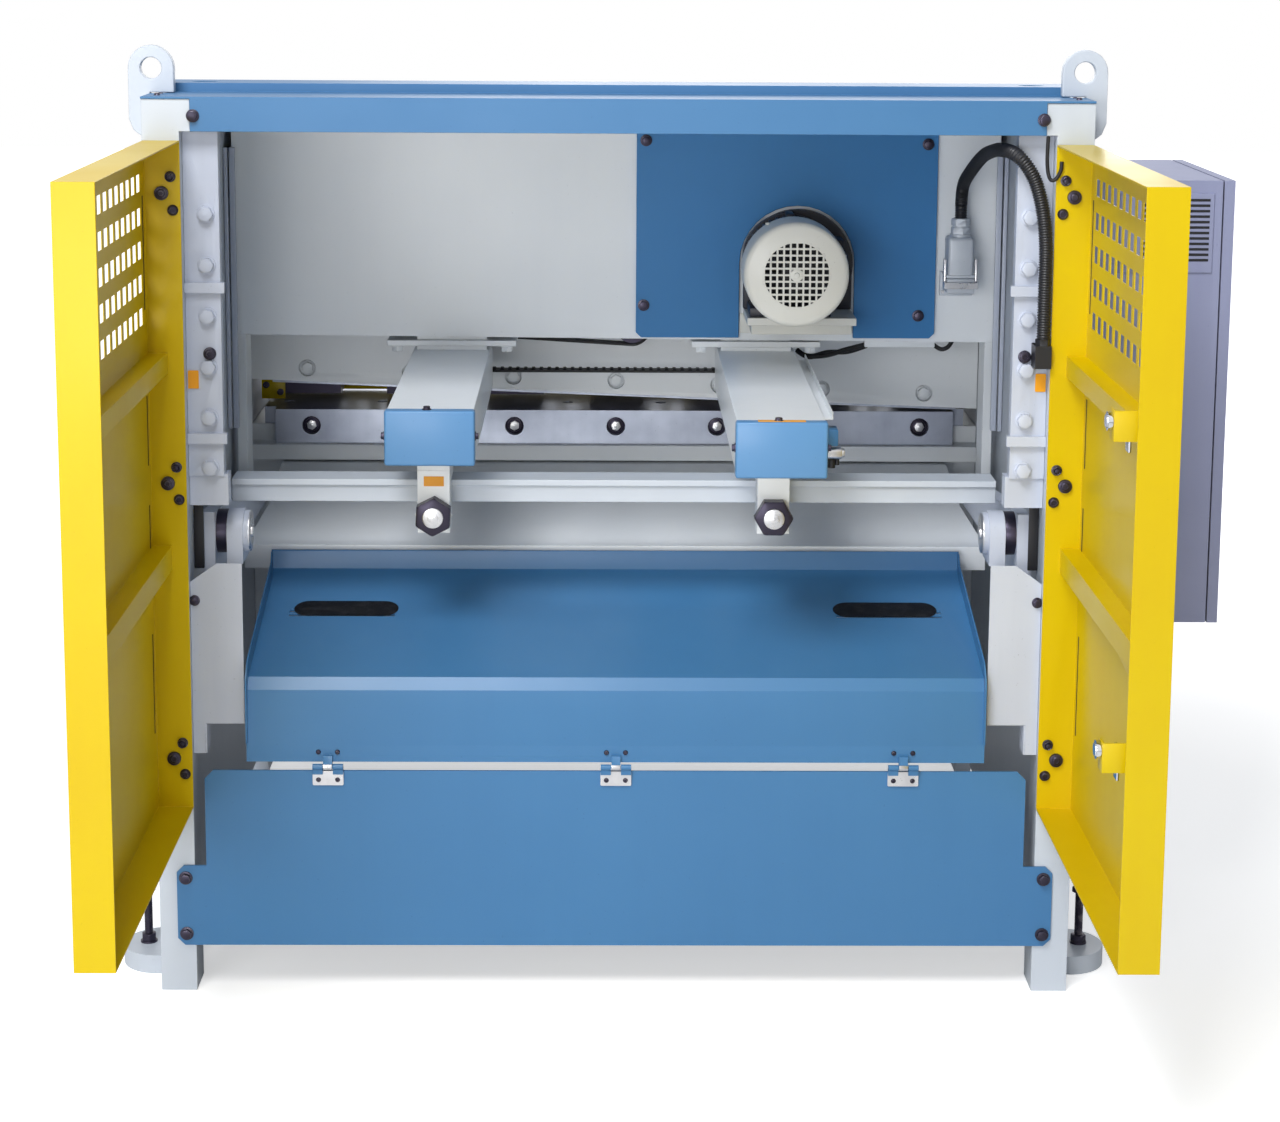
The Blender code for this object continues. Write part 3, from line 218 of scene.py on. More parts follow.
join(rub_group, (rub_in, "Width", rounding, "Radius"), (rounding, "Normal", lean_away, 0),
     (own, "Normal", lean_away, 1), (lean_away, "Value", near_edge, "Value"),
     (rub_spots, "Object", rub_noise, "Vector"), (rub_in, "Break up", rub_noise, "Scale"),
     (rub_noise, "Fac", rub_cut, "Value"), (near_edge, "Result", rubbed, 0), (rub_cut, "Result", rubbed, 1),
     (rubbed, "Value", rub_out, "Mask"))


def finish(name, colour, dark, under, rough=0.4, metal=0.0, patch=0.5, grain=260, lay=(1, 1, 1),
           depth=0.00003, wear=0.5, under_metal=0.0, streaks=0.25, specks=0.5, coat=0.0, coarse=2.4,
           spread=0.12, shine=0.35):
    """A shop finish: its colour, the darker tone of its patches, what shows where it is rubbed off, and its
    grain as a fine relief, drawn out by lay. patch, streaks, specks and wear say how strong each is."""
    colour, dark, under = rgb(*colour), rgb(*dark), rgb(*under)
    made = bpy.data.materials.new(name)
    made.use_nodes = True
    tree = made.node_tree
    shader = tree.nodes["Principled BSDF"]
    tune(shader, {"Coat Weight": coat, "Coat Roughness": 0.12, "Specular IOR Level": shine})
    marks = put(tree, "ShaderNodeGroup", {"Coarse": coarse, "Fine": 230.0}, node_tree=marks_group)
    edges = put(tree, "ShaderNodeGroup", {"Width": 0.0016}, node_tree=rub_group)
    tone = put(tree, "ShaderNodeMapRange", {"From Min": 0.35, "From Max": 0.72, "To Max": patch})
    run = put(tree, "ShaderNodeMapRange", {"From Min": 0.45, "From Max": 0.85, "To Max": streaks})
    both = put(tree, "ShaderNodeMath", operation="ADD", use_clamp=True)
    toned = put(tree, "ShaderNodeMix", {6: colour, 7: dark}, data_type="RGBA")
    fleck = put(tree, "ShaderNodeMath", {1: specks}, operation="MULTIPLY")
    fleck_tone = (*(c * 0.45 for c in dark[:3]), 1)
    flecked = put(tree, "ShaderNodeMix", {7: fleck_tone}, data_type="RGBA")
    worn_mask = put(tree, "ShaderNodeMath", {1: wear}, operation="MULTIPLY", use_clamp=True)
    worn = put(tree, "ShaderNodeMix", {7: under}, data_type="RGBA")
    rough_map = put(tree, "ShaderNodeMapRange", {"From Min": 0.3, "From Max": 0.7,
                                                 "To Min": rough - spread / 2, "To Max": rough + spread / 2})
    rough_worn = put(tree, "ShaderNodeMix", {3: 0.48}, data_type="FLOAT")
    spots_at = put(tree, "ShaderNodeTexCoord")
    stretch = put(tree, "ShaderNodeMapping", {"Scale": [grain * way for way in lay]})
    relief = put(tree, "ShaderNodeTexNoise", {"Scale": 1.0, "Detail": 2.5, "Roughness": 0.6})
    bump = put(tree, "ShaderNodeBump", {"Strength": 1.0, "Distance": depth})
    join(tree, (marks, "Patches", tone, "Value"), (marks, "Streaks", run, "Value"),
         (tone, "Result", both, 0), (run, "Result", both, 1), (both, "Value", toned, 0),
         (toned, 2, flecked, 6), (marks, "Specks", fleck, 0), (fleck, "Value", flecked, 0),
         (flecked, 2, worn, 6), (edges, "Mask", worn_mask, 0), (worn_mask, "Value", worn, 0),
         (worn, 2, shader, "Base Color"), (marks, "Patches", rough_map, "Value"),
         (rough_map, "Result", rough_worn, 2), (worn_mask, "Value", rough_worn, 0),
         (rough_worn, 0, shader, "Roughness"), (spots_at, "Object", stretch, "Vector"),
         (stretch, "Vector", relief, "Vector"), (relief, "Fac", bump, "Height"),
         (bump, "Normal", shader, "Normal"))
    if metal == under_metal:
        shader.inputs["Metallic"].default_value = metal
    else:
        metal_worn = put(tree, "ShaderNodeMix", {2: metal, 3: under_metal}, data_type="FLOAT")
        join(tree, (worn_mask, "Value", metal_worn, 0), (metal_worn, 0, shader, "Metallic"))
    return made


# The black plastic finish also serves as painted shade: dark pads and strips in the chute slots, louvre
# openings, door weld slits and lid holes.
black_plastic = finish("black_plastic", (34, 35, 40), (22, 22, 26), (70, 70, 74), rough=0.42, patch=0.6,
                       grain=900, depth=0.00001, streaks=0.1)
conduit_points = [(0.532, 0.528, 1.0365), (0.532, 0.528, 1.0480), (0.532, 0.528, 1.0600),
                  (0.532, 0.508, 1.0900), (0.532, 0.430, 1.1180), (0.529, 0.290, 1.1520),
                  (0.5250, 0.150, 1.1720), (0.5225, 0.070, 1.1790), (0.5240, 0.024, 1.1815),
                  (0.5330, 0.002, 1.1770), (0.5470, -0.003, 1.1610), (0.5590, -0.003, 1.1380),
                  (0.5690, -0.003, 1.1000), (0.5738, -0.003, 1.0570), (0.5745, -0.003, 1.0100),
                  (0.5745, -0.003, 0.9303)]
route, run_length = smooth_route(conduit_points, RIB_PITCH / 4)
ribs = [HOSE_R * (1.0, 1.0, 0.86, 0.86)[i % 4] for i in range(len(route))]
conduit = show(hose_mesh("motor_conduit", route, ribs), "motor_conduit", black_plastic, 60)
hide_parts("conduit")
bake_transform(conduit)

# ---- Door switch cable. A smooth black lead, 5 mm, that drops out of the top cover and turns up again
# into the right door's hinge edge.
black_rubber = finish("black_rubber", (30, 30, 34), (18, 18, 21), (60, 60, 62), rough=0.55, patch=0.6,
                      grain=700, depth=0.00001, wear=0.3, streaks=0.1)
cable_points = [(0.573, 0.000, 1.2030), (0.573, 0.003, 1.172), (0.575, 0.003, 1.153), (0.578, -0.004, 1.145),
                (0.584, -0.0062, 1.147), (0.590, -0.0062, 1.158), (0.591, -0.0062, 1.170)]
route, run_length = smooth_route(cable_points, 0.0015)
door_lead = show(hose_mesh("door_lead", route, [0.0026] * len(route)), "door_lead", black_rubber,
                 60)
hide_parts("door_cable")
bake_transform(door_lead)

# ---- Side frames with their posts and round floor pads. Thick plate, welded and sprayed white, drawn in a greyer copy of the white enamel that is painted shade; the pads
# stand on the shop floor and have lost paint round their rims.
off_white = finish("off_white_enamel", (236, 240, 243), (219, 225, 233), (126, 124, 126), rough=0.38,
                   patch=0.45, grain=300, wear=0.55, streaks=0.12, specks=0.3, coat=0.1)


def softened(node, name, material, width=0.001, steps=2, cut_y=None):
    """A copy of a CAD node with its triangles merged and its edges rounded as a brake or a file leaves them.
    What stands behind cut_y is cut off, where a finer piece takes its place."""
    mesh = frame["nodes"][node].data.copy()
    mesh.transform(Matrix.Translation(-MACHINE))
    bm = bmesh.new()
    bm.from_mesh(mesh)
    bmesh.ops.remove_doubles(bm, verts=bm.verts, dist=1e-5)
    if cut_y is not None:
        bmesh.ops.bisect_plane(bm, geom=bm.verts[:] + bm.edges[:] + bm.faces[:], plane_co=(0, cut_y, 0),
                               plane_no=(0, -1, 0), clear_outer=True)
        bmesh.ops.holes_fill(bm, edges=[e for e in bm.edges if e.is_boundary], sides=0)
    bmesh.ops.dissolve_limit(bm, angle_limit=math.radians(1.5), verts=bm.verts, edges=bm.edges)
    bm.to_mesh(mesh)
    bm.free()
    item = show(mesh, name, material)
    rounding_off = item.modifiers.new("rounded_edges", "BEVEL")
    rounding_off.width = width
    rounding_off.segments = steps
    rounding_off.limit_method = "ANGLE"
    rounding_off.angle_limit = math.radians(32.0)
    rounding_off.harden_normals = True
    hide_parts(node)
    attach(item, frame["nodes"][node]["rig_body"])
    return item


# A greyer copy of the off-white enamel: painted shade on the side frames, lifting eyes and gauge beam, which
# are white like the ram.
frame_white_painted_shade = finish("white_enamel_painted_shade", (192, 199, 208), (178, 186, 197), (112, 112, 118), rough=0.4,
                     patch=0.45, grain=300, wear=0.55, streaks=0.2, specks=0.3, coat=0.05)
for side in ("left", "right"):
    softened(f"side_frame_{side}", f"side_frame_{side}_plate", frame_white_painted_shade, 0.0016)
    softened(f"lifting_eye_{side}", f"lifting_eye_{side}_plate", frame_white_painted_shade, 0.0020, 3)

# ---- Levelling bolts. M12 blacked bolts with a lock nut, turned down through the pads on to the floor.
# The blacked steel finish also lines the lower blade's counterbores, as painted shade there.
black_steel = finish("blacked_steel_and_painted_shade", (66, 62, 78), (40, 38, 48), (150, 146, 150), rough=0.36, metal=0.75,
                     patch=0.7, grain=500, depth=0.00002, wear=0.7, under_metal=1.0, streaks=0.1)


def onto(target, bm, at, axis, turn=0.0):
    """Puts a small shape, modelled standing on Z, at a place and along an axis, into a bigger mesh."""
    way = Vector({"x": (1, 0, 0), "-x": (-1, 0, 0), "y": (0, 1, 0), "-y": (0, -1, 0), "z": (0, 0, 1),
                  "-z": (0, 0, -1)}[axis])
    stand = way.to_track_quat("Z", "Y").to_matrix().to_4x4()
    bm.transform(Matrix.Translation(at) @ stand @ Matrix.Rotation(turn, 4, "Z"))
    spare = bpy.data.meshes.new("spare")
    bm.to_mesh(spare)
    bm.free()
    target.from_mesh(spare)
    bpy.data.meshes.remove(spare)


def rounded(bm, rims, soft, steps=2, affect="EDGES"):
    """Rounds edges, or corners, of a shape."""
    bmesh.ops.bevel(bm, geom=rims, offset=soft, segments=steps, profile=0.5, affect=affect, material=-1)


def disc(radius, thick, low=0.0, sides=24, soft=0.0, top_radius=None):
    """A round or many-sided piece standing on Z, its top edge softened."""
    bm = bmesh.new()
    bmesh.ops.create_cone(bm, cap_ends=True, segments=sides, radius1=radius, radius2=top_radius or radius,
                          depth=thick)
    bmesh.ops.translate(bm, vec=(0, 0, low + thick / 2), verts=bm.verts)
    if soft:
        rounded(bm, [e for e in bm.edges if all(v.co.z > low + thick * 0.999 for v in e.verts)], soft)
    return bm


def hex_head(target, at, axis, flats, thick, washer=0.0, turn=0.3, bore=0.0):
    """A bolt head or nut, with the washer under it and, in a nut, the bolt's end showing."""
    if washer:
        onto(target, disc(washer, flats * 0.13, soft=flats * 0.03), at, axis)
    bm = disc(flats / math.sqrt(3), thick, low=flats * 0.13 if washer else 0.0, sides=6)
    crown = max(v.co.z for v in bm.verts)
    rounded(bm, [v for v in bm.verts if v.co.z > crown - 1e-6], flats * 0.10, affect="VERTICES")
    cap = [f for f in bm.faces if f.normal.z > 0.9]
    bmesh.ops.inset_region(bm, faces=cap, thickness=flats * 0.07, use_even_offset=True)
    bmesh.ops.translate(bm, vec=(0, 0, thick * 0.07), verts=list({v for f in cap for v in f.verts}))
    if bore:
        bmesh.ops.inset_region(bm, faces=cap, thickness=flats * 0.43 - bore, use_even_offset=True)
        bmesh.ops.translate(bm, vec=(0, 0, -thick * 0.2), verts=list({v for f in cap for v in f.verts}))
        end = disc(bore * 0.93, thick * 0.5, low=crown - thick * 0.3, sides=16, soft=bore * 0.12)
        onto(target, end, at, axis)
    onto(target, bm, at, axis, turn)


def socket_head(target, at, axis, radius, thick, key=0.5, domed=False):
    """A cylinder or button head with a hexagon socket in it."""
    bm = disc(radius, thick, soft=radius * 0.10, top_radius=radius * (0.72 if domed else 1.0))
    cap = [f for f in bm.faces if f.normal.z > 0.99 and f.calc_center_median().z > thick * 0.98]
    bmesh.ops.inset_region(bm, faces=cap, thickness=radius * 0.15, use_even_offset=True)
    loop = list({v for f in cap for v in f.verts})
    for v in loop:
        around = math.atan2(v.co.y, v.co.x) % (math.pi / 3) - math.pi / 6
        reach = radius * key / math.cos(around) / max(v.co.xy.length, 1e-9)
        v.co.x, v.co.y = v.co.x * reach, v.co.y * reach
    deeper = bmesh.ops.extrude_face_region(bm, geom=cap)
    pit = [g for g in deeper["geom"] if isinstance(g, bmesh.types.BMVert)]
    bmesh.ops.translate(bm, vec=(0, 0, -thick * 0.6), verts=pit)
    bmesh.ops.delete(bm, geom=cap, context="FACES")
    onto(target, bm, at, axis)


def turned_up(section, steps, closed=False):
    """A turned shape: a half section of (radius, height) points, spun round Z."""
    bm = bmesh.new()
    chain = [bm.verts.new((r, 0, z)) for r, z in section]
    nexts = chain[1:] + (chain[:1] if closed else [])
    edges = [bm.edges.new(pair) for pair in zip(chain, nexts)]
    bmesh.ops.spin(bm, geom=chain + edges, cent=(0, 0, 0), axis=(0, 0, 1), angle=2 * math.pi, steps=steps,
                   use_merge=True, use_duplicate=False)
    bmesh.ops.remove_doubles(bm, verts=bm.verts, dist=1e-6)
    bmesh.ops.recalc_face_normals(bm, faces=bm.faces)
    return bm


def threaded(target, at, axis, radius, length, pitch):
    """A bar with thread ridges."""
    half_section = [(0.0, 0.0), (radius * 0.86, 0.0)]
    turns = int(length / pitch)
    for i in range(turns):
        half_section.append((radius, (i + 0.30) * pitch))
        half_section.append((radius, (i + 0.45) * pitch))
        half_section.append((radius * 0.88, (i + 0.80) * pitch))
        half_section.append((radius * 0.88, (i + 0.95) * pitch))
    half_section += [(radius * 0.86, length), (0.0, length)]
    onto(target, turned_up(half_section, 20), at, axis)


def made(bm, name, material, slot, body, sharp=34.0, stands_for=()):
    """A bmesh finished as a piece that rides on a body."""
    mesh = bpy.data.meshes.new(name)
    bm.to_mesh(mesh)
    bm.free()
    item = show(mesh, name, material, sharp)
    if stands_for:
        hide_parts(*stands_for)
    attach(item, body)
    return item


def corners(node):
    """The lowest and highest corners of a CAD node in machine places."""
    low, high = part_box(node)
    return low - MACHINE, high - MACHINE


LEVEL_BOLT_LONG = 0.104
for row in ("rear", "front"):
    for side in ("left", "right"):
        low, high = corners(f"level_bolt_{row}_{side}")
        foot = Vector(((low.x + high.x) / 2, (low.y + high.y) / 2, 0.0))
        pad_top = corners(f"side_frame_{side}")[0].z + 0.027
        bm = bmesh.new()
        threaded(bm, foot, "z", 0.0060, LEVEL_BOLT_LONG, 0.00175)
        hex_head(bm, foot + Vector((0, 0, pad_top)), "z", 0.019, 0.010, washer=0.012, turn=0.2)
        hex_head(bm, foot + Vector((0, 0, LEVEL_BOLT_LONG)), "z", 0.019, 0.0075, turn=0.5)
        made(bm, f"level_bolt_{row}_{side}_turned", black_steel, "black_steel", "frame",
             stands_for=(f"level_bolt_{row}_{side}",))

# ---- Bed, sheet slide, table and front sheets. The bed and slide are folded and welded plate, the table
# is a ground strip held by countersunk screws.
ground_steel = finish("ground_steel", (178, 184, 198), (138, 144, 160), (210, 212, 218), rough=0.34,
                      metal=0.85, patch=0.7, grain=30, lay=(1, 30, 30), depth=0.00002, under_metal=1.0,
                      streaks=0.3, coarse=9.0)
steel_blue = finish("steel_blue_enamel", (64, 116, 162), (54, 105, 151), (30, 60, 92), rough=0.34,
                    patch=0.55, grain=280, streaks=0.15, specks=0.3, coat=0.05)
softened("bed", "bed_weldment", off_white, 0.0015)
softened("apron", "sheet_slide", off_white, 0.0008)
softened("front_cover", "front_cover_sheet", off_white, 0.0008)
softened("front_panel", "front_panel_sheet", steel_blue, 0.0008)
softened("table", "table_plate", ground_steel, 0.0006)
low, high = corners("table")
bm = bmesh.new()
for x in np.linspace(-1, 1, 8) * 0.5495:
    socket_head(bm, (x, 0.8713, high.z - 0.006), "z", 0.0082, 0.0045, key=0.45)
made(bm, "table_screws", black_steel, "black_steel", "frame")

# ---- Lower blade. Hardened steel, ground all over, 25 by 57 mm, with seven bolts in deep counterbores.
low, high = corners("lower_blade")
softened("lower_blade", "lower_blade_ground", ground_steel, 0.0005)
bright = finish("bright_plated_steel", (214, 214, 216), (170, 170, 176), (235, 235, 235), rough=0.3,
                metal=0.9, patch=0.6, grain=500, depth=0.00002, wear=0.6, under_metal=1.0, coarse=30.0)
BLADE_BOLT_PITCH, BLADE_BOLT_SHIFT = 0.1689, 0.002
# Painted shade: dark discs of the blacked-steel finish line each counterbore, for the shade inside it.
bores, bolts = bmesh.new(), bmesh.new()
for i in range(7):
    place = Vector(((i - 3) * BLADE_BOLT_PITCH + BLADE_BOLT_SHIFT, low.y + 0.016, low.z + 0.030))
    onto(bores, disc(0.0153, 0.006, soft=0.0006), place, "-y")
    onto(bores, disc(0.0112, 0.007, soft=0.0010), place + Vector((0, -0.004, 0)), "-y")
    hex_head(bolts, place + Vector((0, -0.0100, 0)), "-y", 0.0145, 0.0050, turn=0.2 + i * 0.4)
    onto(bolts, disc(0.0032, 0.0010, soft=0.0003), place + Vector((0, -0.0152, 0)), "-y")
made(bores, "lower_blade_bore_painted_shade", black_steel, "black_steel", "frame")
made(bolts, "lower_blade_bolts", bright, "bright_steel", "frame")

# ---- Hold-down beam, clamp bar and finger guard in front of the blades. Sprayed steel; the pads and
# rods are blacked, the guard is yellow sheet with slots to see through.
yellow = finish("yellow_enamel", (206, 180, 0), (196, 158, 0), (140, 112, 16), rough=0.33, patch=0.5,
                grain=240, wear=0.4, streaks=0.12, specks=0.2, coat=0.05, shine=0.25)
lilac = finish("lilac_grey_enamel", (190, 197, 212), (168, 176, 196), (112, 110, 116), rough=0.4, patch=0.6,
               grain=300, streaks=0.3, specks=0.4, coat=0.1)


def block(target, size, at, soft=0.0, steps=2, along=None):
    """A box centred on a place, put into a bigger mesh, with its edges rounded, or those along one axis."""
    bm = bmesh.new()
    bmesh.ops.create_cube(bm, size=1.0, matrix=Matrix.Diagonal((*size, 1)))
    if soft:
        rims = [e for e in bm.edges if along is None or abs((e.verts[0].co - e.verts[1].co)[along]) > 1e-6]
        rounded(bm, rims, soft, steps)
    onto(target, bm, at, "z")


softened("holddown_beam", "holddown_beam_welded", lilac, 0.0015)
softened("clamp_bar", "clamp_bar_machined", black_steel, 0.0010)
softened("finger_guard", "finger_guard_sheet", yellow, 0.0006)
bm = bmesh.new()
block(bm, (1.180, 0.004, 0.0180), (0, 0.9830, 0.6940), 0.0008)
block(bm, (0.040, 0.005, 0.0320), (-0.578, 0.8850, 0.7010), 0.0008)
made(bm, "finger_guard_rail", yellow, "yellow_paint", "frame")
bm = bmesh.new()
for x, z in ((-0.590, 0.709), (-0.566, 0.697)):
    socket_head(bm, (x, 0.8825, z), "-y", 0.0055, 0.0040)
made(bm, "finger_guard_screws", black_steel, "black_steel", "frame")

# ---- Guide plates for the ram, one on each post. Lilac-grey plates held by six painted hexagon bolts and
# a black set screw each, with two welded ribs; a bare amber plate sits beside each.
amber = finish("amber_plate", (232, 158, 24), (214, 138, 16), (160, 110, 30), rough=0.42, patch=0.4,
               grain=800, depth=0.00001, wear=0.3, specks=0.2)
GUIDE_BOLT_PITCH = 0.0697
for side, sign in (("left", -1), ("right", 1)):
    softened(f"guide_plate_{side}", f"guide_plate_{side}_sprayed", lilac, 0.0009)
    low, high = corners(f"guide_plate_{side}")
    bm = bmesh.new()
    for i in range(6):
        hex_head(bm, (sign * 0.5555, low.y + 0.0092, 1.092 - i * GUIDE_BOLT_PITCH), "-y", 0.0178, 0.0082,
                 washer=0.0125, turn=0.25 + 0.5 * i)
    made(bm, f"guide_bolts_{side}", lilac, "grey_paint", "frame")
    bm = bmesh.new()
    onto(bm, disc(0.0088, 0.003, soft=0.0008), (sign * 0.5535, 0.0218, 0.9015), "-y")
    socket_head(bm, (sign * 0.5535, 0.0200, 0.9015), "-y", 0.0070, 0.006, key=0.5)
    made(bm, f"guide_set_screw_{side}", black_steel, "black_steel", "frame")
    bm = bmesh.new()
    block(bm, (0.0145, 0.0012, 0.0250), (sign * 0.5765, 0.0213, 0.8657), 0.0012, along=1)
    made(bm, f"bare_plate_{side}", amber, "yellow_paint", "frame")
    # Two gib strips beside the ram, behind the guide plate, with a dark oil gap between them.
    bm = bmesh.new()
    for x, wide, y in ((0.6035, 0.0060, 0.548), (0.5940, 0.0085, 0.551)):
        block(bm, (wide, 0.008, 0.440), (sign * x, y, 0.918), 0.0008)
    made(bm, f"gib_strips_{side}", lilac, "grey_paint", "frame")
    bm = bmesh.new()
    block(bm, (0.0135, 0.004, 0.0920), (sign * 0.5780, 0.0500, 0.6420), 0.0008)
    made(bm, f"buffer_strip_{side}", black_rubber, "black_rubber", "frame")

# ---- Folded side covers below the guides. Thin lilac-grey sheet, bent twice, held by one black screw each.
for side, sign in (("left", -1), ("right", 1)):
    softened(f"side_cover_{side}", f"side_cover_{side}_folded", lilac, 0.0007)
    bm = bmesh.new()
    hex_head(bm, (sign * 0.5795, 0.0098, 0.560), "-y", 0.010, 0.004, washer=0.0075)
    made(bm, f"side_cover_{side}_screw", black_steel, "black_steel", "frame")

# ---- Back panel. Steel-blue sheet with ears low on both sides, four blacked bolts, and three bright
# butt hinges along its top edge that carry the chute.
softened("rear_panel", "rear_panel_sheet", steel_blue, 0.0009)
bm = bmesh.new()
for sign in (-1, 1):
    for z in (0.166, 0.085):
        hex_head(bm, (sign * 0.598, -0.0035, z), "-y", 0.0130, 0.0058, washer=0.0095,
                 turn=0.4 + z * 5 + sign)
made(bm, "rear_panel_bolts", black_steel, "black_steel", "frame")
HINGE_X = (-0.398, 0.0, 0.398)
HINGE_Z = 0.329
hinge_bright, hinge_dark = bmesh.new(), bmesh.new()
for x in HINGE_X:
    block(hinge_bright, (0.0425, 0.0014, 0.0205), (x, -0.0057, 0.3120), 0.0015, along=1)
    for sign in (-1, 1):
        knuckle = (x + sign * 0.0140 - 0.0071, -0.0072, HINGE_Z)
        onto(hinge_bright, disc(0.0036, 0.0142, soft=0.0005), knuckle, "x")
        socket_head(hinge_dark, (x + sign * 0.0132, -0.0062, 0.3095), "-y", 0.0036, 0.0022, domed=True)
made(hinge_bright, "chute_hinge_leaves", bright, "bright_steel", "frame")
made(hinge_dark, "chute_hinge_screws", black_steel, "black_steel", "frame")

# ---- Chute. One sheet bent four times with upturned sides, steel blue, with two long slots near its
# upper end, each shown by a thin dark pad that is painted shade for the dark seen through the slot; it
# swings on the three hinges.
softened("chute", "chute_sheet", steel_blue, 0.0007)
bm, bm_dark = bmesh.new(), bmesh.new()
for x in HINGE_X:
    onto(bm, disc(0.0044, 0.0122, soft=0.0005), (x - 0.0061, -0.0085, HINGE_Z), "x")
    for sign in (-1, 1):
        socket_head(bm_dark, (x + sign * 0.0132, -0.0038, 0.3485), "-y", 0.0036, 0.0022, domed=True)
made(bm, "chute_hinge_knuckles", bright, "bright_steel", "chute")
made(bm_dark, "chute_screws", black_steel, "black_steel", "chute")
SLOT_R, SLOT_HALF, SHEET_SLOPE = 0.0215, 0.054, 0.2571
# Painted shade: a thin dark pad in the shape of each slot stands in for the shade seen through it.
bm = bmesh.new()
for sign in (-1, 1):
    ends = [(side * SLOT_HALF + SLOT_R * math.cos(a), SLOT_R * math.sin(a))
            for side, start in ((1, -90), (-1, 90))
            for a in (math.radians(start + step * 15) for step in range(13))]
    bm.faces.new([bm.verts.new((sign * 0.390 + x, 0.1960 + y, 0.5002 + SHEET_SLOPE * y)) for x, y in ends])
bmesh.ops.solidify(bm, geom=bm.faces[:], thickness=0.0004)
bmesh.ops.recalc_face_normals(bm, faces=bm.faces)
made(bm, "chute_slot_painted_shade", black_plastic, "black_plastic", "chute")

# ---- Rockers and slotted links that pull the ram down. Machined steel, sprayed lilac-grey on the outside,
# with a bright disc on each pivot.
ROCKER_PIN = (0.090, 0.640)
for side, sign, inwards in (("left", -1, "x"), ("right", 1, "-x")):
    softened(f"rocker_{side}", f"rocker_{side}_machined", lilac, 0.0010)
    softened(f"ram_link_{side}", f"ram_link_{side}_plate", off_white, 0.0008)
    bm = bmesh.new()
    onto(bm, disc(0.0306, 0.0150, sides=40, soft=0.001), (sign * 0.5565, *ROCKER_PIN), inwards)
    made(bm, f"rocker_sleeve_{side}", black_steel, "black_steel", f"rocker_{side}")
    bm = bmesh.new()
    onto(bm, disc(0.0285, 0.0016, sides=40, soft=0.0006), (sign * 0.5122, *ROCKER_PIN), inwards)
    onto(bm, disc(0.0090, 0.0030, sides=24, soft=0.0008), (sign * 0.5110, *ROCKER_PIN), inwards)
    made(bm, f"rocker_cap_{side}", bright, "bright_steel", f"rocker_{side}")

# ---- Ram. A welded box, off-white, with its raked front plate that holds the upper blade by seven bolts set
# in deep counterbores.
softened("ram", "ram_weldment", off_white, 0.0014)
softened("upper_blade", "upper_blade_ground", ground_steel, 0.0005)
BLADE_RAKE = 0.0376
bm = bmesh.new()
for i in range(7):
    x = (i - 3) * BLADE_BOLT_PITCH + BLADE_BOLT_SHIFT
    z = 0.712 - BLADE_RAKE * x + 0.030
    onto(bm, disc(0.0118, 0.0030, soft=0.0006), (x, 0.7570, z), "-y")
    hex_head(bm, (x, 0.7545, z), "-y", 0.0165, 0.0075, turn=0.1 + i * 0.7)
onto(bm, disc(0.0160, 0.0020, soft=0.0006), (0.5235, 0.5600, 1.1760), "-y")
made(bm, "upper_blade_bolts", off_white, "white_paint", "ram")

# ---- Blue cover plate on the ram, cut out in an arch round the gauge motor, on four black bolts.
cover_blue = finish("cover_plate_enamel", (62, 126, 182), (52, 114, 171), (30, 60, 92), rough=0.42,
                    patch=0.55, grain=280, streaks=0.1, specks=0.3, shine=0.2)
softened("ram_cover", "ram_cover_plate", cover_blue, 0.0010)
bm = bmesh.new()
for x, z in ((0.0455, 1.152), (0.4820, 1.148), (0.0430, 0.895), (0.4720, 0.880)):
    hex_head(bm, (x, 0.5515, z), "-y", 0.0130, 0.0060, washer=0.0092, turn=x * 9)
made(bm, "ram_cover_bolts", black_steel, "black_steel", "ram")

# ---- Gauge motor. A foot-mounted squirrel-cage motor in black with cooling fins, a terminal box, and a
# cream fan cowl of pressed steel whose end is a grille of square holes; it stands on a folded bracket.
cream = finish("cream_enamel", (226, 226, 220), (206, 206, 200), (110, 108, 104), rough=0.36, patch=0.4,
               grain=320, streaks=0.15, specks=0.3, coat=0.15)
cast_black = finish("cast_black_enamel", (46, 48, 58), (30, 31, 38), (110, 106, 108), rough=0.42, patch=0.6,
                    grain=240, depth=0.00008, wear=0.6, streaks=0.1)
softened("motor_bracket", "motor_bracket_folded", cream, 0.0016, 3)
low, high = corners("motor_cowl")
motor_end = Vector(((low.x + high.x) / 2, low.y, (low.z + high.z) / 2))


def fluted(target, at, count, crest, root, long, first=0):
    """A bar along Y with square ribs round it, for cooling fins or belt teeth."""
    bm = bmesh.new()
    bmesh.ops.create_circle(bm, cap_ends=False, segments=count * 4, radius=crest)
    for i, v in enumerate(bm.verts):
        v.co *= 1.0 if (i - first) % 4 in (0, 1) else root / crest
    tube = bmesh.ops.extrude_edge_only(bm, edges=bm.edges[:])
    far = [g for g in tube["geom"] if isinstance(g, bmesh.types.BMVert)]
    bmesh.ops.translate(bm, vec=(0, 0, long), verts=far)
    bmesh.ops.holes_fill(bm, edges=[e for e in bm.edges if e.is_boundary], sides=0)
    bmesh.ops.recalc_face_normals(bm, faces=bm.faces)
    onto(target, bm, at, "y")


motor = bmesh.new()
fluted(motor, motor_end + Vector((0, 0.082, 0)), 36, 0.0675, 0.0585, 0.128, first=1)
onto(motor, disc(0.0700, 0.016, soft=0.002, sides=40), motor_end + Vector((0, 0.196, 0)), "y")
onto(motor, disc(0.0480, 0.017, sides=32), motor_end + Vector((0, 0.2125, 0)), "y")
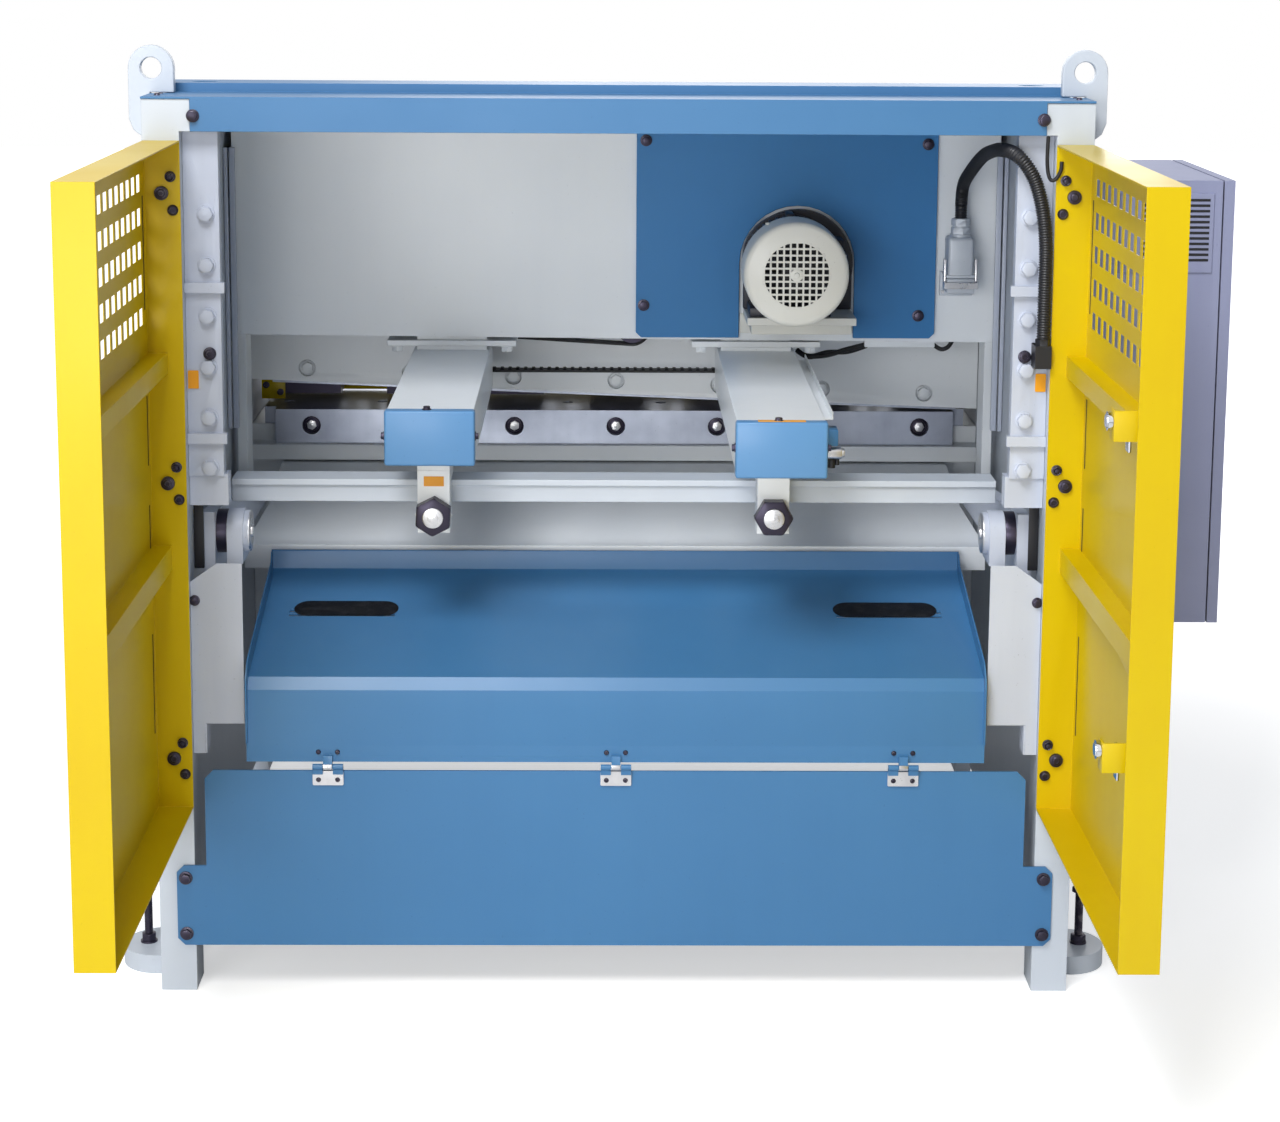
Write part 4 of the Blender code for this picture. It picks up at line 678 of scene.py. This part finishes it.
# Partly the motor's flange and partly painted shadow: this black disc is set right of and below the motor's
# axis so that it shows as a dark band beside the cowl.
onto(motor, disc(0.0855, 0.016, soft=0.002, sides=48), motor_end + Vector((0.0165, 0.2040, -0.010)), "y")
for size, at in (((0.124, 0.080, 0.0140), (0, 0.160, -0.0730)),
                 ((0.080, 0.070, 0.026), (0, 0.160, -0.058)),
                 ((0.030, 0.060, 0.050), (0.068, 0.1800, 0.010)),
                 ((0.010, 0.050, 0.014), (0.0850, 0.1800, 0.004)),
                 # Painted shadow: a wide flat dark plate in the ram cover's arch below the cowl.
                 ((0.168, 0.016, 0.070), (0.0165, 0.2120, -0.0450)),
                 ((0.012, 0.050, 0.010), (0, 0.170, 0.0700))):
    block(motor, size, motor_end + Vector(at), 0.0022)
made(motor, "motor_body_finned", cast_black, "cast_black", "ram", 30, stands_for=("motor_body",))

shell = [(0.0780, 0.082), (0.0780, 0.010), (0.0772, 0.0050), (0.0745, 0.0015), (0.0700, 0.0),
         (0.0480, -0.0020)]
inner = [(0.0480, 0.0005), (0.0695, 0.0020), (0.0730, 0.0045), (0.0755, 0.010), (0.0755, 0.082)]
cowl = bmesh.new()
onto(cowl, turned_up(shell + inner, 72, closed=True), motor_end, "y")
# The grille: crossing flat bars 3 mm wide, with a round boss where they meet.
GRILLE_R, GRILLE_PITCH = 0.0505, 0.0097
for i in range(-5, 6):
    reach = math.sqrt(max(GRILLE_R ** 2 - (i * GRILLE_PITCH) ** 2, 0))
    if reach < 0.006:
        continue
    for turn in (0, math.pi / 2):
        bar = bmesh.new()
        bmesh.ops.create_cube(bar, size=1.0, matrix=Matrix.Translation((0, i * GRILLE_PITCH, 0.0012))
                              @ Matrix.Diagonal((2 * reach, 0.0029, 0.0018 + 0.0001 * (turn > 0), 1)))
        onto(cowl, bar, motor_end + Vector((0, -0.0020, 0)), "y", turn)
onto(cowl, disc(0.0095, 0.003, soft=0.001), motor_end + Vector((0, 0.0010, 0)), "-y")
onto(cowl, disc(0.0040, 0.0025, soft=0.001), motor_end + Vector((0, -0.0015, 0)), "-y")
for turn in (0.25, 2.1, 4.05, 5.2):
    spot = Vector((0.0775 * math.cos(turn), 0.070, 0.0775 * math.sin(turn)))
    onto(cowl, disc(0.0042, 0.0030, soft=0.001), motor_end + spot, "z" if math.sin(turn) > 0 else "-z")
made(cowl, "motor_cowl_grille", cream, "cream_paint", "ram", 40, stands_for=("motor_cowl",))

low, high = corners("motor_rotor")
bm = bmesh.new()
onto(bm, disc(0.0220, 0.034, soft=0.003), (motor_end.x, low.y + 0.001, motor_end.z), "y")
for i in range(7):
    vane = bmesh.new()
    bmesh.ops.create_cube(vane, size=1.0, matrix=Matrix.Translation((0.041, 0, 0.020))
                          @ Matrix.Diagonal((0.046, 0.0024, 0.030, 1)))
    onto(bm, vane, (motor_end.x, low.y, motor_end.z), "y", i * 2 * math.pi / 7)
made(bm, "motor_fan", black_plastic, "black_plastic", "rotor")
bm = bmesh.new()
onto(bm, disc(0.0095, 0.372, soft=0.001), (motor_end.x, low.y, motor_end.z), "y")
PULLEY_R, PULLEY_WIDE = 0.0278, 0.026
PULLEY_TEETH, TOOTH_DEEP = 14, 0.0022


def toothed_pulley(target, at):
    """A timing pulley: a rim of square teeth and a hub."""
    fluted(target, at, PULLEY_TEETH, PULLEY_R, PULLEY_R - TOOTH_DEEP, PULLEY_WIDE)
    onto(target, disc(PULLEY_R * 0.42, 0.006, soft=0.001), Vector(at) + Vector((0, PULLEY_WIDE, 0)), "y")


toothed_pulley(bm, (motor_end.x, high.y - PULLEY_WIDE, motor_end.z))
made(bm, "motor_shaft_and_pulley", ground_steel, "bright_steel", "rotor", stands_for=("motor_rotor",))

# ---- Connector. A cast aluminium hood on a housing, held by a spring lever, with a hexagon gland on top
# that grips the conduit.
alloy = finish("cast_alloy", (200, 206, 214), (178, 185, 196), (214, 216, 220), rough=0.46, metal=0.1,
               patch=0.6, grain=420, depth=0.00006, wear=0.6, under_metal=0.8, coarse=20.0)
HOOD_X = (0.511 + 0.550) / 2
GLAND_X, GLAND_Y = 0.532, 0.528
bm = bmesh.new()
for size, at, soft in (((0.0430, 0.0590, 0.0230), (HOOD_X, 0.5295, 0.9335), 0.0020),
                       ((0.0390, 0.0490, 0.0640), (HOOD_X, 0.5275, 0.9760), 0.0055),
                       ((0.0440, 0.0520, 0.0050), (HOOD_X, 0.5280, 0.9480), 0.0015),
                       ((0.0510, 0.0075, 0.0380), (HOOD_X, 0.5555, 0.9310), 0.0012)):
    block(bm, size, at, soft, 3)
onto(bm, disc(0.0165, 0.006, soft=0.001), (GLAND_X, GLAND_Y, 1.006), "z")
hex_head(bm, (GLAND_X, GLAND_Y, 1.012), "z", 0.0270, 0.0100, turn=0.1)
onto(bm, disc(0.0125, 0.005, soft=0.001), (GLAND_X, GLAND_Y, 1.022), "z")
hex_head(bm, (GLAND_X, GLAND_Y, 1.0255), "z", 0.0255, 0.0100, turn=0.4)
made(bm, "connector_hood", alloy, "cast_aluminium", "ram", stands_for=("connector",))
bm = bmesh.new()
for sign in (-1, 1):
    socket_head(bm, (HOOD_X + sign * 0.021, 0.5518, 0.918), "-y", 0.0028, 0.0020, domed=True)
    outwards = "x" if sign > 0 else "-x"
    onto(bm, disc(0.0030, 0.0022, soft=0.0004), (HOOD_X + sign * 0.0215, 0.509, 0.971), outwards)
made(bm, "connector_screws", bright, "bright_steel", "ram")
softened("connector_lever", "connector_lever_bent", bright, 0.0009)
softened("conduit_gland", "conduit_gland_moulded", black_plastic, 0.0010)

# ---- Gauge arms. Inverted channels of folded sheet, off-white, on a welded flange bolted under the ram,
# each closed by a blue folded cap with three small screws.
light_blue = finish("light_blue_enamel", (90, 138, 184), (78, 126, 174), (42, 78, 114), rough=0.34,
                    patch=0.5, grain=280, streaks=0.06, specks=0.25, coat=0.05)
for side, body_screw in (("left", "screw_left"), ("right", "screw_right")):
    softened(f"gauge_arm_{side}", f"gauge_arm_{side}_folded", off_white, 0.0012)
    low, high = corners(f"arm_cap_{side}")
    mid = (low + high) / 2
    cap = bmesh.new()
    cap_size = Matrix.Diagonal((*(high - low), 1))
    bmesh.ops.create_cube(cap, size=1.0, matrix=Matrix.Translation(mid) @ cap_size)
    rounded(cap, [e for e in cap.edges if any(v.co.y < mid.y for v in e.verts)], 0.0035, 3)
    made(cap, f"arm_cap_{side}_folded", light_blue, "light_blue_paint", "ram",
         stands_for=(f"arm_cap_{side}",))
    bm = bmesh.new()
    hex_head(bm, (mid.x - 0.004, high.y - 0.006, high.z), "z", 0.0085, 0.0035, washer=0.0065)
    hex_head(bm, (low.x, high.y - 0.007, mid.z + 0.002), "-x", 0.0085, 0.0035, washer=0.0065)
    hex_head(bm, (high.x, high.y - 0.007, mid.z + 0.002), "x", 0.0085, 0.0035, washer=0.0065)
    made(bm, f"arm_cap_{side}_screws", black_steel, "black_steel", "ram")
    low, high = corners(f"gauge_arm_{side}")
    mid = (low + high) / 2
    bm = bmesh.new()
    for sign in (-1, 1):
        for y in (0.578, 0.628):
            hex_head(bm, (mid.x + sign * 0.086, y, 0.8275), "-z", 0.0160, 0.0080, washer=0.0125,
                     turn=y * 20)
    made(bm, f"gauge_arm_{side}_bolts", off_white, "white_paint", "ram")
    low, high = corners(f"gauge_screw_{side}")
    centre = (low + high) / 2
    bm = bmesh.new()
    threaded(bm, (centre.x, low.y + 0.024, centre.z), "y", 0.0100, 0.592 - low.y, 0.0050)
    onto(bm, disc(0.0082, 0.025, soft=0.001), (centre.x, low.y, centre.z), "y")
    onto(bm, disc(0.0095, 0.078, soft=0.001), (centre.x, 0.616, centre.z), "y")
    toothed_pulley(bm, (centre.x, 0.688, centre.z))
    made(bm, f"gauge_screw_{side}_threaded", ground_steel, "bright_steel", body_screw,
         stands_for=(f"gauge_screw_{side}",))
bm = bmesh.new()
low, high = corners("arm_cap_right")
block(bm, (0.064, 0.011, 0.0008), ((low.x + high.x) / 2, low.y + 0.010, high.z + 0.0004))
made(bm, "bare_plate_arm", amber, "yellow_paint", "ram")
# A small channel along the right arm that the switch slides in.
bm = bmesh.new()
block(bm, (0.0165, 0.500, 0.0016), (0.2888, 0.300, 0.8085))
for x in (0.2964, 0.2806):
    block(bm, (0.0016, 0.500, 0.0110), (x, 0.300, 0.8130))
rounded(bm, bm.edges[:], 0.0004, 1)
made(bm, "switch_channel", off_white, "white_paint", "ram")

# ---- Belt drive of the gauge. A black toothed belt, 25 mm wide at 12.7 mm pitch, round the two screw
# pulleys and the motor pulley, pressed down by a smooth idler on a fixed pin.
BELT_PITCH = 0.0127
softened("gauge_belt", "gauge_belt_band", black_rubber, 0.0003, 1)
belt_low, belt_high = corners("gauge_belt")
bm = bmesh.new()
wheels = [(corners(n)[0] + corners(n)[1]) / 2 for n in ("gauge_screw_left", "gauge_screw_right")]
for i in range(36):
    x = wheels[0].x + 0.010 + i * BELT_PITCH
    if x < wheels[1].x - 0.008:
        tooth = bmesh.new()
        bmesh.ops.create_cone(tooth, cap_ends=True, segments=4, radius1=0.0046, radius2=0.0030, depth=0.0024)
        tooth.transform(Matrix.Diagonal((1.0, 3.7, 1.0, 1)) @ Matrix.Rotation(math.pi / 4, 4, "Z"))
        onto(bm, tooth, (x, (belt_low.y + belt_high.y) / 2, wheels[0].z - 0.0272), "z")
made(bm, "gauge_belt_teeth", black_rubber, "black_rubber", "ram")
softened("belt_idler", "belt_idler_turned", black_steel, 0.0008)
softened("idler_pin", "idler_pin_bracket", bright, 0.0008)

# ---- Limit switch on the right arm. A blue switch block with a plated plunger head and a short lead.
low, high = corners("limit_switch")
bm = bmesh.new()
block(bm, (0.0215, 0.036, 0.0225), (low.x + 0.0110, 0.0600, high.z - 0.0115), 0.0016)
made(bm, "limit_switch_block", steel_blue, "steel_blue_paint", "ram", stands_for=("limit_switch",))
bm = bmesh.new()
onto(bm, disc(0.0085, 0.026, soft=0.0015), (low.x + 0.0015, 0.0520, 0.7610), "x")
onto(bm, disc(0.0060, 0.004, soft=0.0010), (low.x + 0.0275, 0.0520, 0.7610), "x")
onto(bm, disc(0.0045, 0.014, soft=0.0008), (low.x + 0.0090, 0.0600, 0.7480), "z")
made(bm, "limit_switch_plunger", bright, "bright_steel", "ram")
bm = bmesh.new()
onto(bm, disc(0.0052, 0.012, soft=0.0010), (low.x + 0.0140, 0.0540, 0.7400), "z")
onto(bm, disc(0.0032, 0.011, soft=0.0008), (low.x + 0.0215, 0.0540, 0.7440), "z")
made(bm, "limit_switch_lead_ends", black_plastic, "black_plastic", "ram")

# ---- Wiring under the ram. A black bundle tied up beside the right arm, a white duct and its outlet lead.
bm = bmesh.new()
for k, points in enumerate((
        [(0.290, 0.640, 0.8110), (0.305, 0.632, 0.8030), (0.335, 0.630, 0.8040), (0.370, 0.636, 0.8130),
         (0.400, 0.640, 0.8200)],
        [(0.292, 0.646, 0.8080), (0.310, 0.640, 0.8000), (0.338, 0.636, 0.8075), (0.372, 0.640, 0.8090),
         (0.402, 0.644, 0.8180)],
        [(0.505, 0.640, 0.8230), (0.520, 0.636, 0.8140), (0.532, 0.636, 0.8180), (0.540, 0.640, 0.8300)])):
    line, _ = smooth_route(points, 0.003)
    tube_mesh = hose_mesh("lead", line, [0.0042 if k < 2 else 0.0036] * len(line))
    bm.from_mesh(tube_mesh)
    bpy.data.meshes.remove(tube_mesh)
made(bm, "ram_leads", black_rubber, "black_rubber", "ram", 60)
bm = bmesh.new()
block(bm, (0.112, 0.030, 0.014), (0.4530, 0.6400, 0.8250), 0.0016)
made(bm, "ram_duct", off_white, "white_paint", "ram")

# ---- Back gauge. A folded white beam with a ledge on top, drawn in the greyer copy of the white enamel that is
# painted shade, carried by two nut blocks that run on the screws; each shows a big black locking nut and a
# bright stud end.
NUT_FACE_Y = 0.1049
softened("gauge_beam", "gauge_beam_folded", frame_white_painted_shade, 0.0010)
for side in ("left", "right"):
    softened(f"gauge_carriage_{side}", f"gauge_carriage_{side}_block", off_white, 0.0010,
             cut_y=NUT_FACE_Y)
    low, high = corners(f"gauge_carriage_{side}")
    face = Vector(((low.x + high.x) / 2, NUT_FACE_Y, 0.660))
    bm = bmesh.new()
    hex_head(bm, face, "-y", 0.0475, 0.0195, turn=-0.05 if side == "left" else 0.52)
    made(bm, f"gauge_nut_{side}", black_steel, "black_steel", "gauge", 30)
    bm = bmesh.new()
    onto(bm, disc(0.0146, 0.0240, sides=40, soft=0.0012), face, "-y")
    onto(bm, disc(0.0080, 0.0246, sides=32, soft=0.0004), face, "-y")
    onto(bm, disc(0.0018, 0.0252, sides=16, soft=0.0003), face, "-y")
    made(bm, f"gauge_stud_{side}", bright, "bright_steel", "gauge", 30)
bm = bmesh.new()
block(bm, (0.0280, 0.0009, 0.0140), (-0.2565, 0.1043, 0.7080))
made(bm, "bare_plate_gauge", amber, "yellow_paint", "gauge")

# ---- Top cover. Light-blue sheet with a folded lip and a raised lid with two oval lifting holes, held
# by small screws on top and by two bolts through the lip.
# The top cover's paint is a darker copy of the arm caps' light blue: painted shade on the cover and its lip.
lid_blue_painted_shade = finish("lid_enamel_painted_shade", (72, 119, 163), (62, 108, 153), (42, 78, 114), rough=0.38, patch=0.5,
                  grain=280, streaks=0.06, specks=0.25, shine=0.25)
softened("top_cover", "top_cover_sheet", lid_blue_painted_shade, 0.0011)
low, high = corners("top_cover")
bm = bmesh.new()
for sign in (-1, 1):
    hex_head(bm, (sign * 0.5665, -0.0020, 1.2250), "-y", 0.0125, 0.0055, washer=0.0088,
             turn=sign * 0.3)
    socket_head(bm, (sign * 0.6180, 0.0280, 1.2502), "z", 0.0045, 0.0030, domed=True)
    socket_head(bm, (sign * 0.6180, 0.0600, 1.2502), "z", 0.0030, 0.0020, domed=True)
made(bm, "top_cover_screws", black_steel, "black_steel", "frame")
# Painted shade: a dark oval pad in each lifting hole stands in for the shade inside it.
bm = bmesh.new()
for sign in (-1, 1):
    hole_shade = disc(0.0098, 0.006, soft=0.001)
    bmesh.ops.scale(hole_shade, vec=(1.8, 1.0, 1.0), verts=hole_shade.verts)
    onto(bm, hole_shade, (sign * 0.5715, 0.145, high.z - 0.0072), "z")
made(bm, "lid_hole_painted_shade", black_plastic, "black_plastic", "frame")

# ---- Back doors. Yellow sheet trays with bent rims, two flat stiffeners and five rows of vent slots; each
# stands open on bolted hinges with three groups of blacked fasteners.
for side, sign in (("left", -1), ("right", 1)):
    softened(f"door_{side}", f"door_{side}_tray", yellow, 0.0008)
    bm = bmesh.new()
    for z in (1.122, 0.727, 0.339):
        hex_head(bm, (sign * 0.598, -0.0026, z + 0.022), "-y", 0.0112, 0.0055, washer=0.0074, turn=z * 3,
                 bore=0.0034)
        onto(bm, disc(0.0095, 0.0050, soft=0.0012), (sign * 0.610, -0.0026, z), "-y")
        socket_head(bm, (sign * 0.610, -0.0070, z), "-y", 0.0066, 0.0022, key=0.45, domed=True)
        socket_head(bm, (sign * 0.5955, -0.0026, z - 0.023), "-y", 0.0076, 0.0050, key=0.5, domed=True)
    made(bm, f"door_{side}_hinge_bolts", black_steel, "black_steel", f"door_{side}")
    # The skin is stitch-welded to the hinge leg; the thin dark strips between the welds are painted shade in
    # the slit there.
    bm = bmesh.new()
    for low_z, high_z in ((0.967, 1.120), (0.755, 0.850), (0.609, 0.700), (0.380, 0.520)):
        block(bm, (0.0008, 0.0034, high_z - low_z), (sign * 0.6327, -0.0200, (low_z + high_z) / 2))
    made(bm, f"door_{side}_weld_gap_painted_shade", black_plastic, "black_plastic", f"door_{side}")
bm = bmesh.new()
for z in (0.5255, 0.9175):
    block(bm, (0.070, 0.003, 0.036), (0.5955, -0.5690, z), 0.0007)
    block(bm, (0.003, 0.0205, 0.036), (0.5620, -0.5570, z), 0.0007)
made(bm, "door_lock_keepers", yellow, "yellow_paint", "door_right")

# ---- Quarter-turn locks on the right door. Chromed barrels with a cam, each held by a round nut on a yellow
# keeper plate that is bent up from the door's edge.
chrome = finish("chrome", (226, 228, 232), (196, 198, 206), (240, 240, 240), rough=0.12, metal=1.0,
                patch=0.4, grain=600, depth=0.000004, wear=0.4, under_metal=1.0, coarse=40.0, spread=0.08)
for name in ("lower", "upper"):
    low, high = corners(f"door_lock_{name}")
    centre = Vector((0.5800, (low.y + high.y) / 2, high.z - 0.0115))
    bm = bmesh.new()
    onto(bm, disc(0.0086, 0.0560, soft=0.0012), centre, "x")
    onto(bm, disc(0.0115, 0.0038, soft=0.0010), (0.6338, centre.y, centre.z), "x")
    onto(bm, disc(0.0100, 0.0040, soft=0.0008), (0.6050, centre.y, centre.z), "x")
    block(bm, (0.0036, 0.0180, 0.0420), (centre.x, centre.y, centre.z - 0.0125), 0.0010)
    nut = bmesh.new()
    onto(nut, disc(0.0112, 0.0058, soft=0.0012), (0.5546, -0.5590, centre.z + 0.002), "x")
    onto(nut, disc(0.0078, 0.0020, soft=0.0008), (0.5530, -0.5590, centre.z + 0.002), "x")
    made(nut, f"door_lock_{name}_nut", chrome, "chrome_lock", "door_right")
    made(bm, f"door_lock_{name}_barrel", chrome, "chrome_lock", f"lock_{name}",
         stands_for=(f"door_lock_{name}",))

# ---- Control cabinet. Lilac-grey textured sheet-steel box on the right side frame, with a raised louvre
# panel at the back and a door on the far side, on a pin hinge.
cabinet_grey = finish("cabinet_powder_coat", (152, 157, 188), (136, 142, 176), (92, 92, 110), rough=0.52,
                      patch=0.55, grain=900, depth=0.00012, streaks=0.25, specks=0.3)
softened("cabinet", "cabinet_shell", cabinet_grey, 0.0012)
softened("cabinet_door", "cabinet_door_tray", cabinet_grey, 0.0016)
softened("cabinet_hinge", "cabinet_hinge_bar", bright, 0.0005)
LOUVRE_PITCH = 0.0077
low, high = corners("cabinet")
# Painted shade: thin dark strips in the louvre panel stand in for the shade in its openings.
bm = bmesh.new()
for i in range(12):
    block(bm, (0.046, 0.0010, 0.0036), (0.8080, low.y, 1.0180 + i * LOUVRE_PITCH))
made(bm, "cabinet_louvre_painted_shade", black_plastic, "black_plastic", "frame")

# ---- Floor and light. A plain pale floor that runs on to the white background, three lamps behind the
# machine and one in front of it, and an even sky.
floor_mesh = bpy.data.meshes.new("shop_floor")
bm = bmesh.new()
bmesh.ops.create_grid(bm, x_segments=1, y_segments=1, size=14.0)
bm.to_mesh(floor_mesh)
bm.free()
floor = bpy.data.objects.new("shop_floor", floor_mesh)
bpy.context.scene.collection.objects.link(floor)
paint = bpy.data.materials.new("pale_floor")
paint.use_nodes = True
shader = paint.node_tree.nodes["Principled BSDF"]
tune(shader, {"Base Color": (0.92, 0.92, 0.92, 1), "Roughness": 0.9, "Specular IOR Level": 0.1,
              "Emission Color": (1, 1, 1, 1)})
ray = put(paint.node_tree, "ShaderNodeLightPath")
place = put(paint.node_tree, "ShaderNodeTexCoord")
away = put(paint.node_tree, "ShaderNodeVectorMath", operation="LENGTH")
lift = put(paint.node_tree, "ShaderNodeMapRange", {"From Min": 1.2, "From Max": 3.2, "To Min": 0.48,
                                                   "To Max": 1.0})
glow = put(paint.node_tree, "ShaderNodeMath", operation="MULTIPLY")
join(paint.node_tree, (place, "Object", away, 0), (away, "Value", lift, "Value"), (lift, "Result", glow, 0),
     (ray, "Is Camera Ray", glow, 1), (glow, "Value", shader, "Emission Strength"))
floor_mesh.materials.append(paint)
sky = bpy.data.worlds.new("studio")
bpy.context.scene.world = sky
sky.use_nodes = True
tree = sky.node_tree
tree.nodes.clear()
ray = put(tree, "ShaderNodeLightPath")
seen = put(tree, "ShaderNodeMath", operation="MAXIMUM")
seen_through = put(tree, "ShaderNodeMath", operation="MAXIMUM")
light = put(tree, "ShaderNodeBackground", {"Color": (0.93, 0.96, 1.0, 1), "Strength": 0.36})
white = put(tree, "ShaderNodeBackground", {"Color": (1, 1, 1, 1), "Strength": 1.0})
which = put(tree, "ShaderNodeMixShader")
out = put(tree, "ShaderNodeOutputWorld")
join(tree, (ray, "Is Camera Ray", seen, 0), (ray, "Is Glossy Ray", seen, 1),
     (seen, "Value", seen_through, 0), (ray, "Is Transmission Ray", seen_through, 1),
     (seen_through, "Value", which, "Fac"),
     (light, "Background", which, 1), (white, "Background", which, 2), (which, "Shader", out, "Surface"))
for name, place, aim, size, watts in (
        ("back_lamp", (-2.3, -4.2, 1.7), (0.15, 0.4, 0.85), 1.8, 46.0),
        ("low_lamp", (-0.9, -4.8, 0.9), (0.1, 0.4, 0.9), 1.4, 54.0),
        ("high_lamp", (-0.9, -2.5, 4.0), (0, 0.2, 0.7), 1.6, 146.0),
        ("front_lamp", (0.5, 5.0, 2.0), (0, 0.6, 0.7), 2.6, 40.0)):
    lamp = bpy.data.lights.new(name, "AREA")
    lamp.size = size
    lamp.energy = watts
    stand = bpy.data.objects.new(name, lamp)
    stand.location = MACHINE + Vector(place)
    stand.rotation_euler = (Vector(aim) - Vector(place)).to_track_quat("-Z", "Y").to_euler()
    bpy.context.scene.collection.objects.link(stand)

bpy.context.scene.view_settings.view_transform = "Standard"
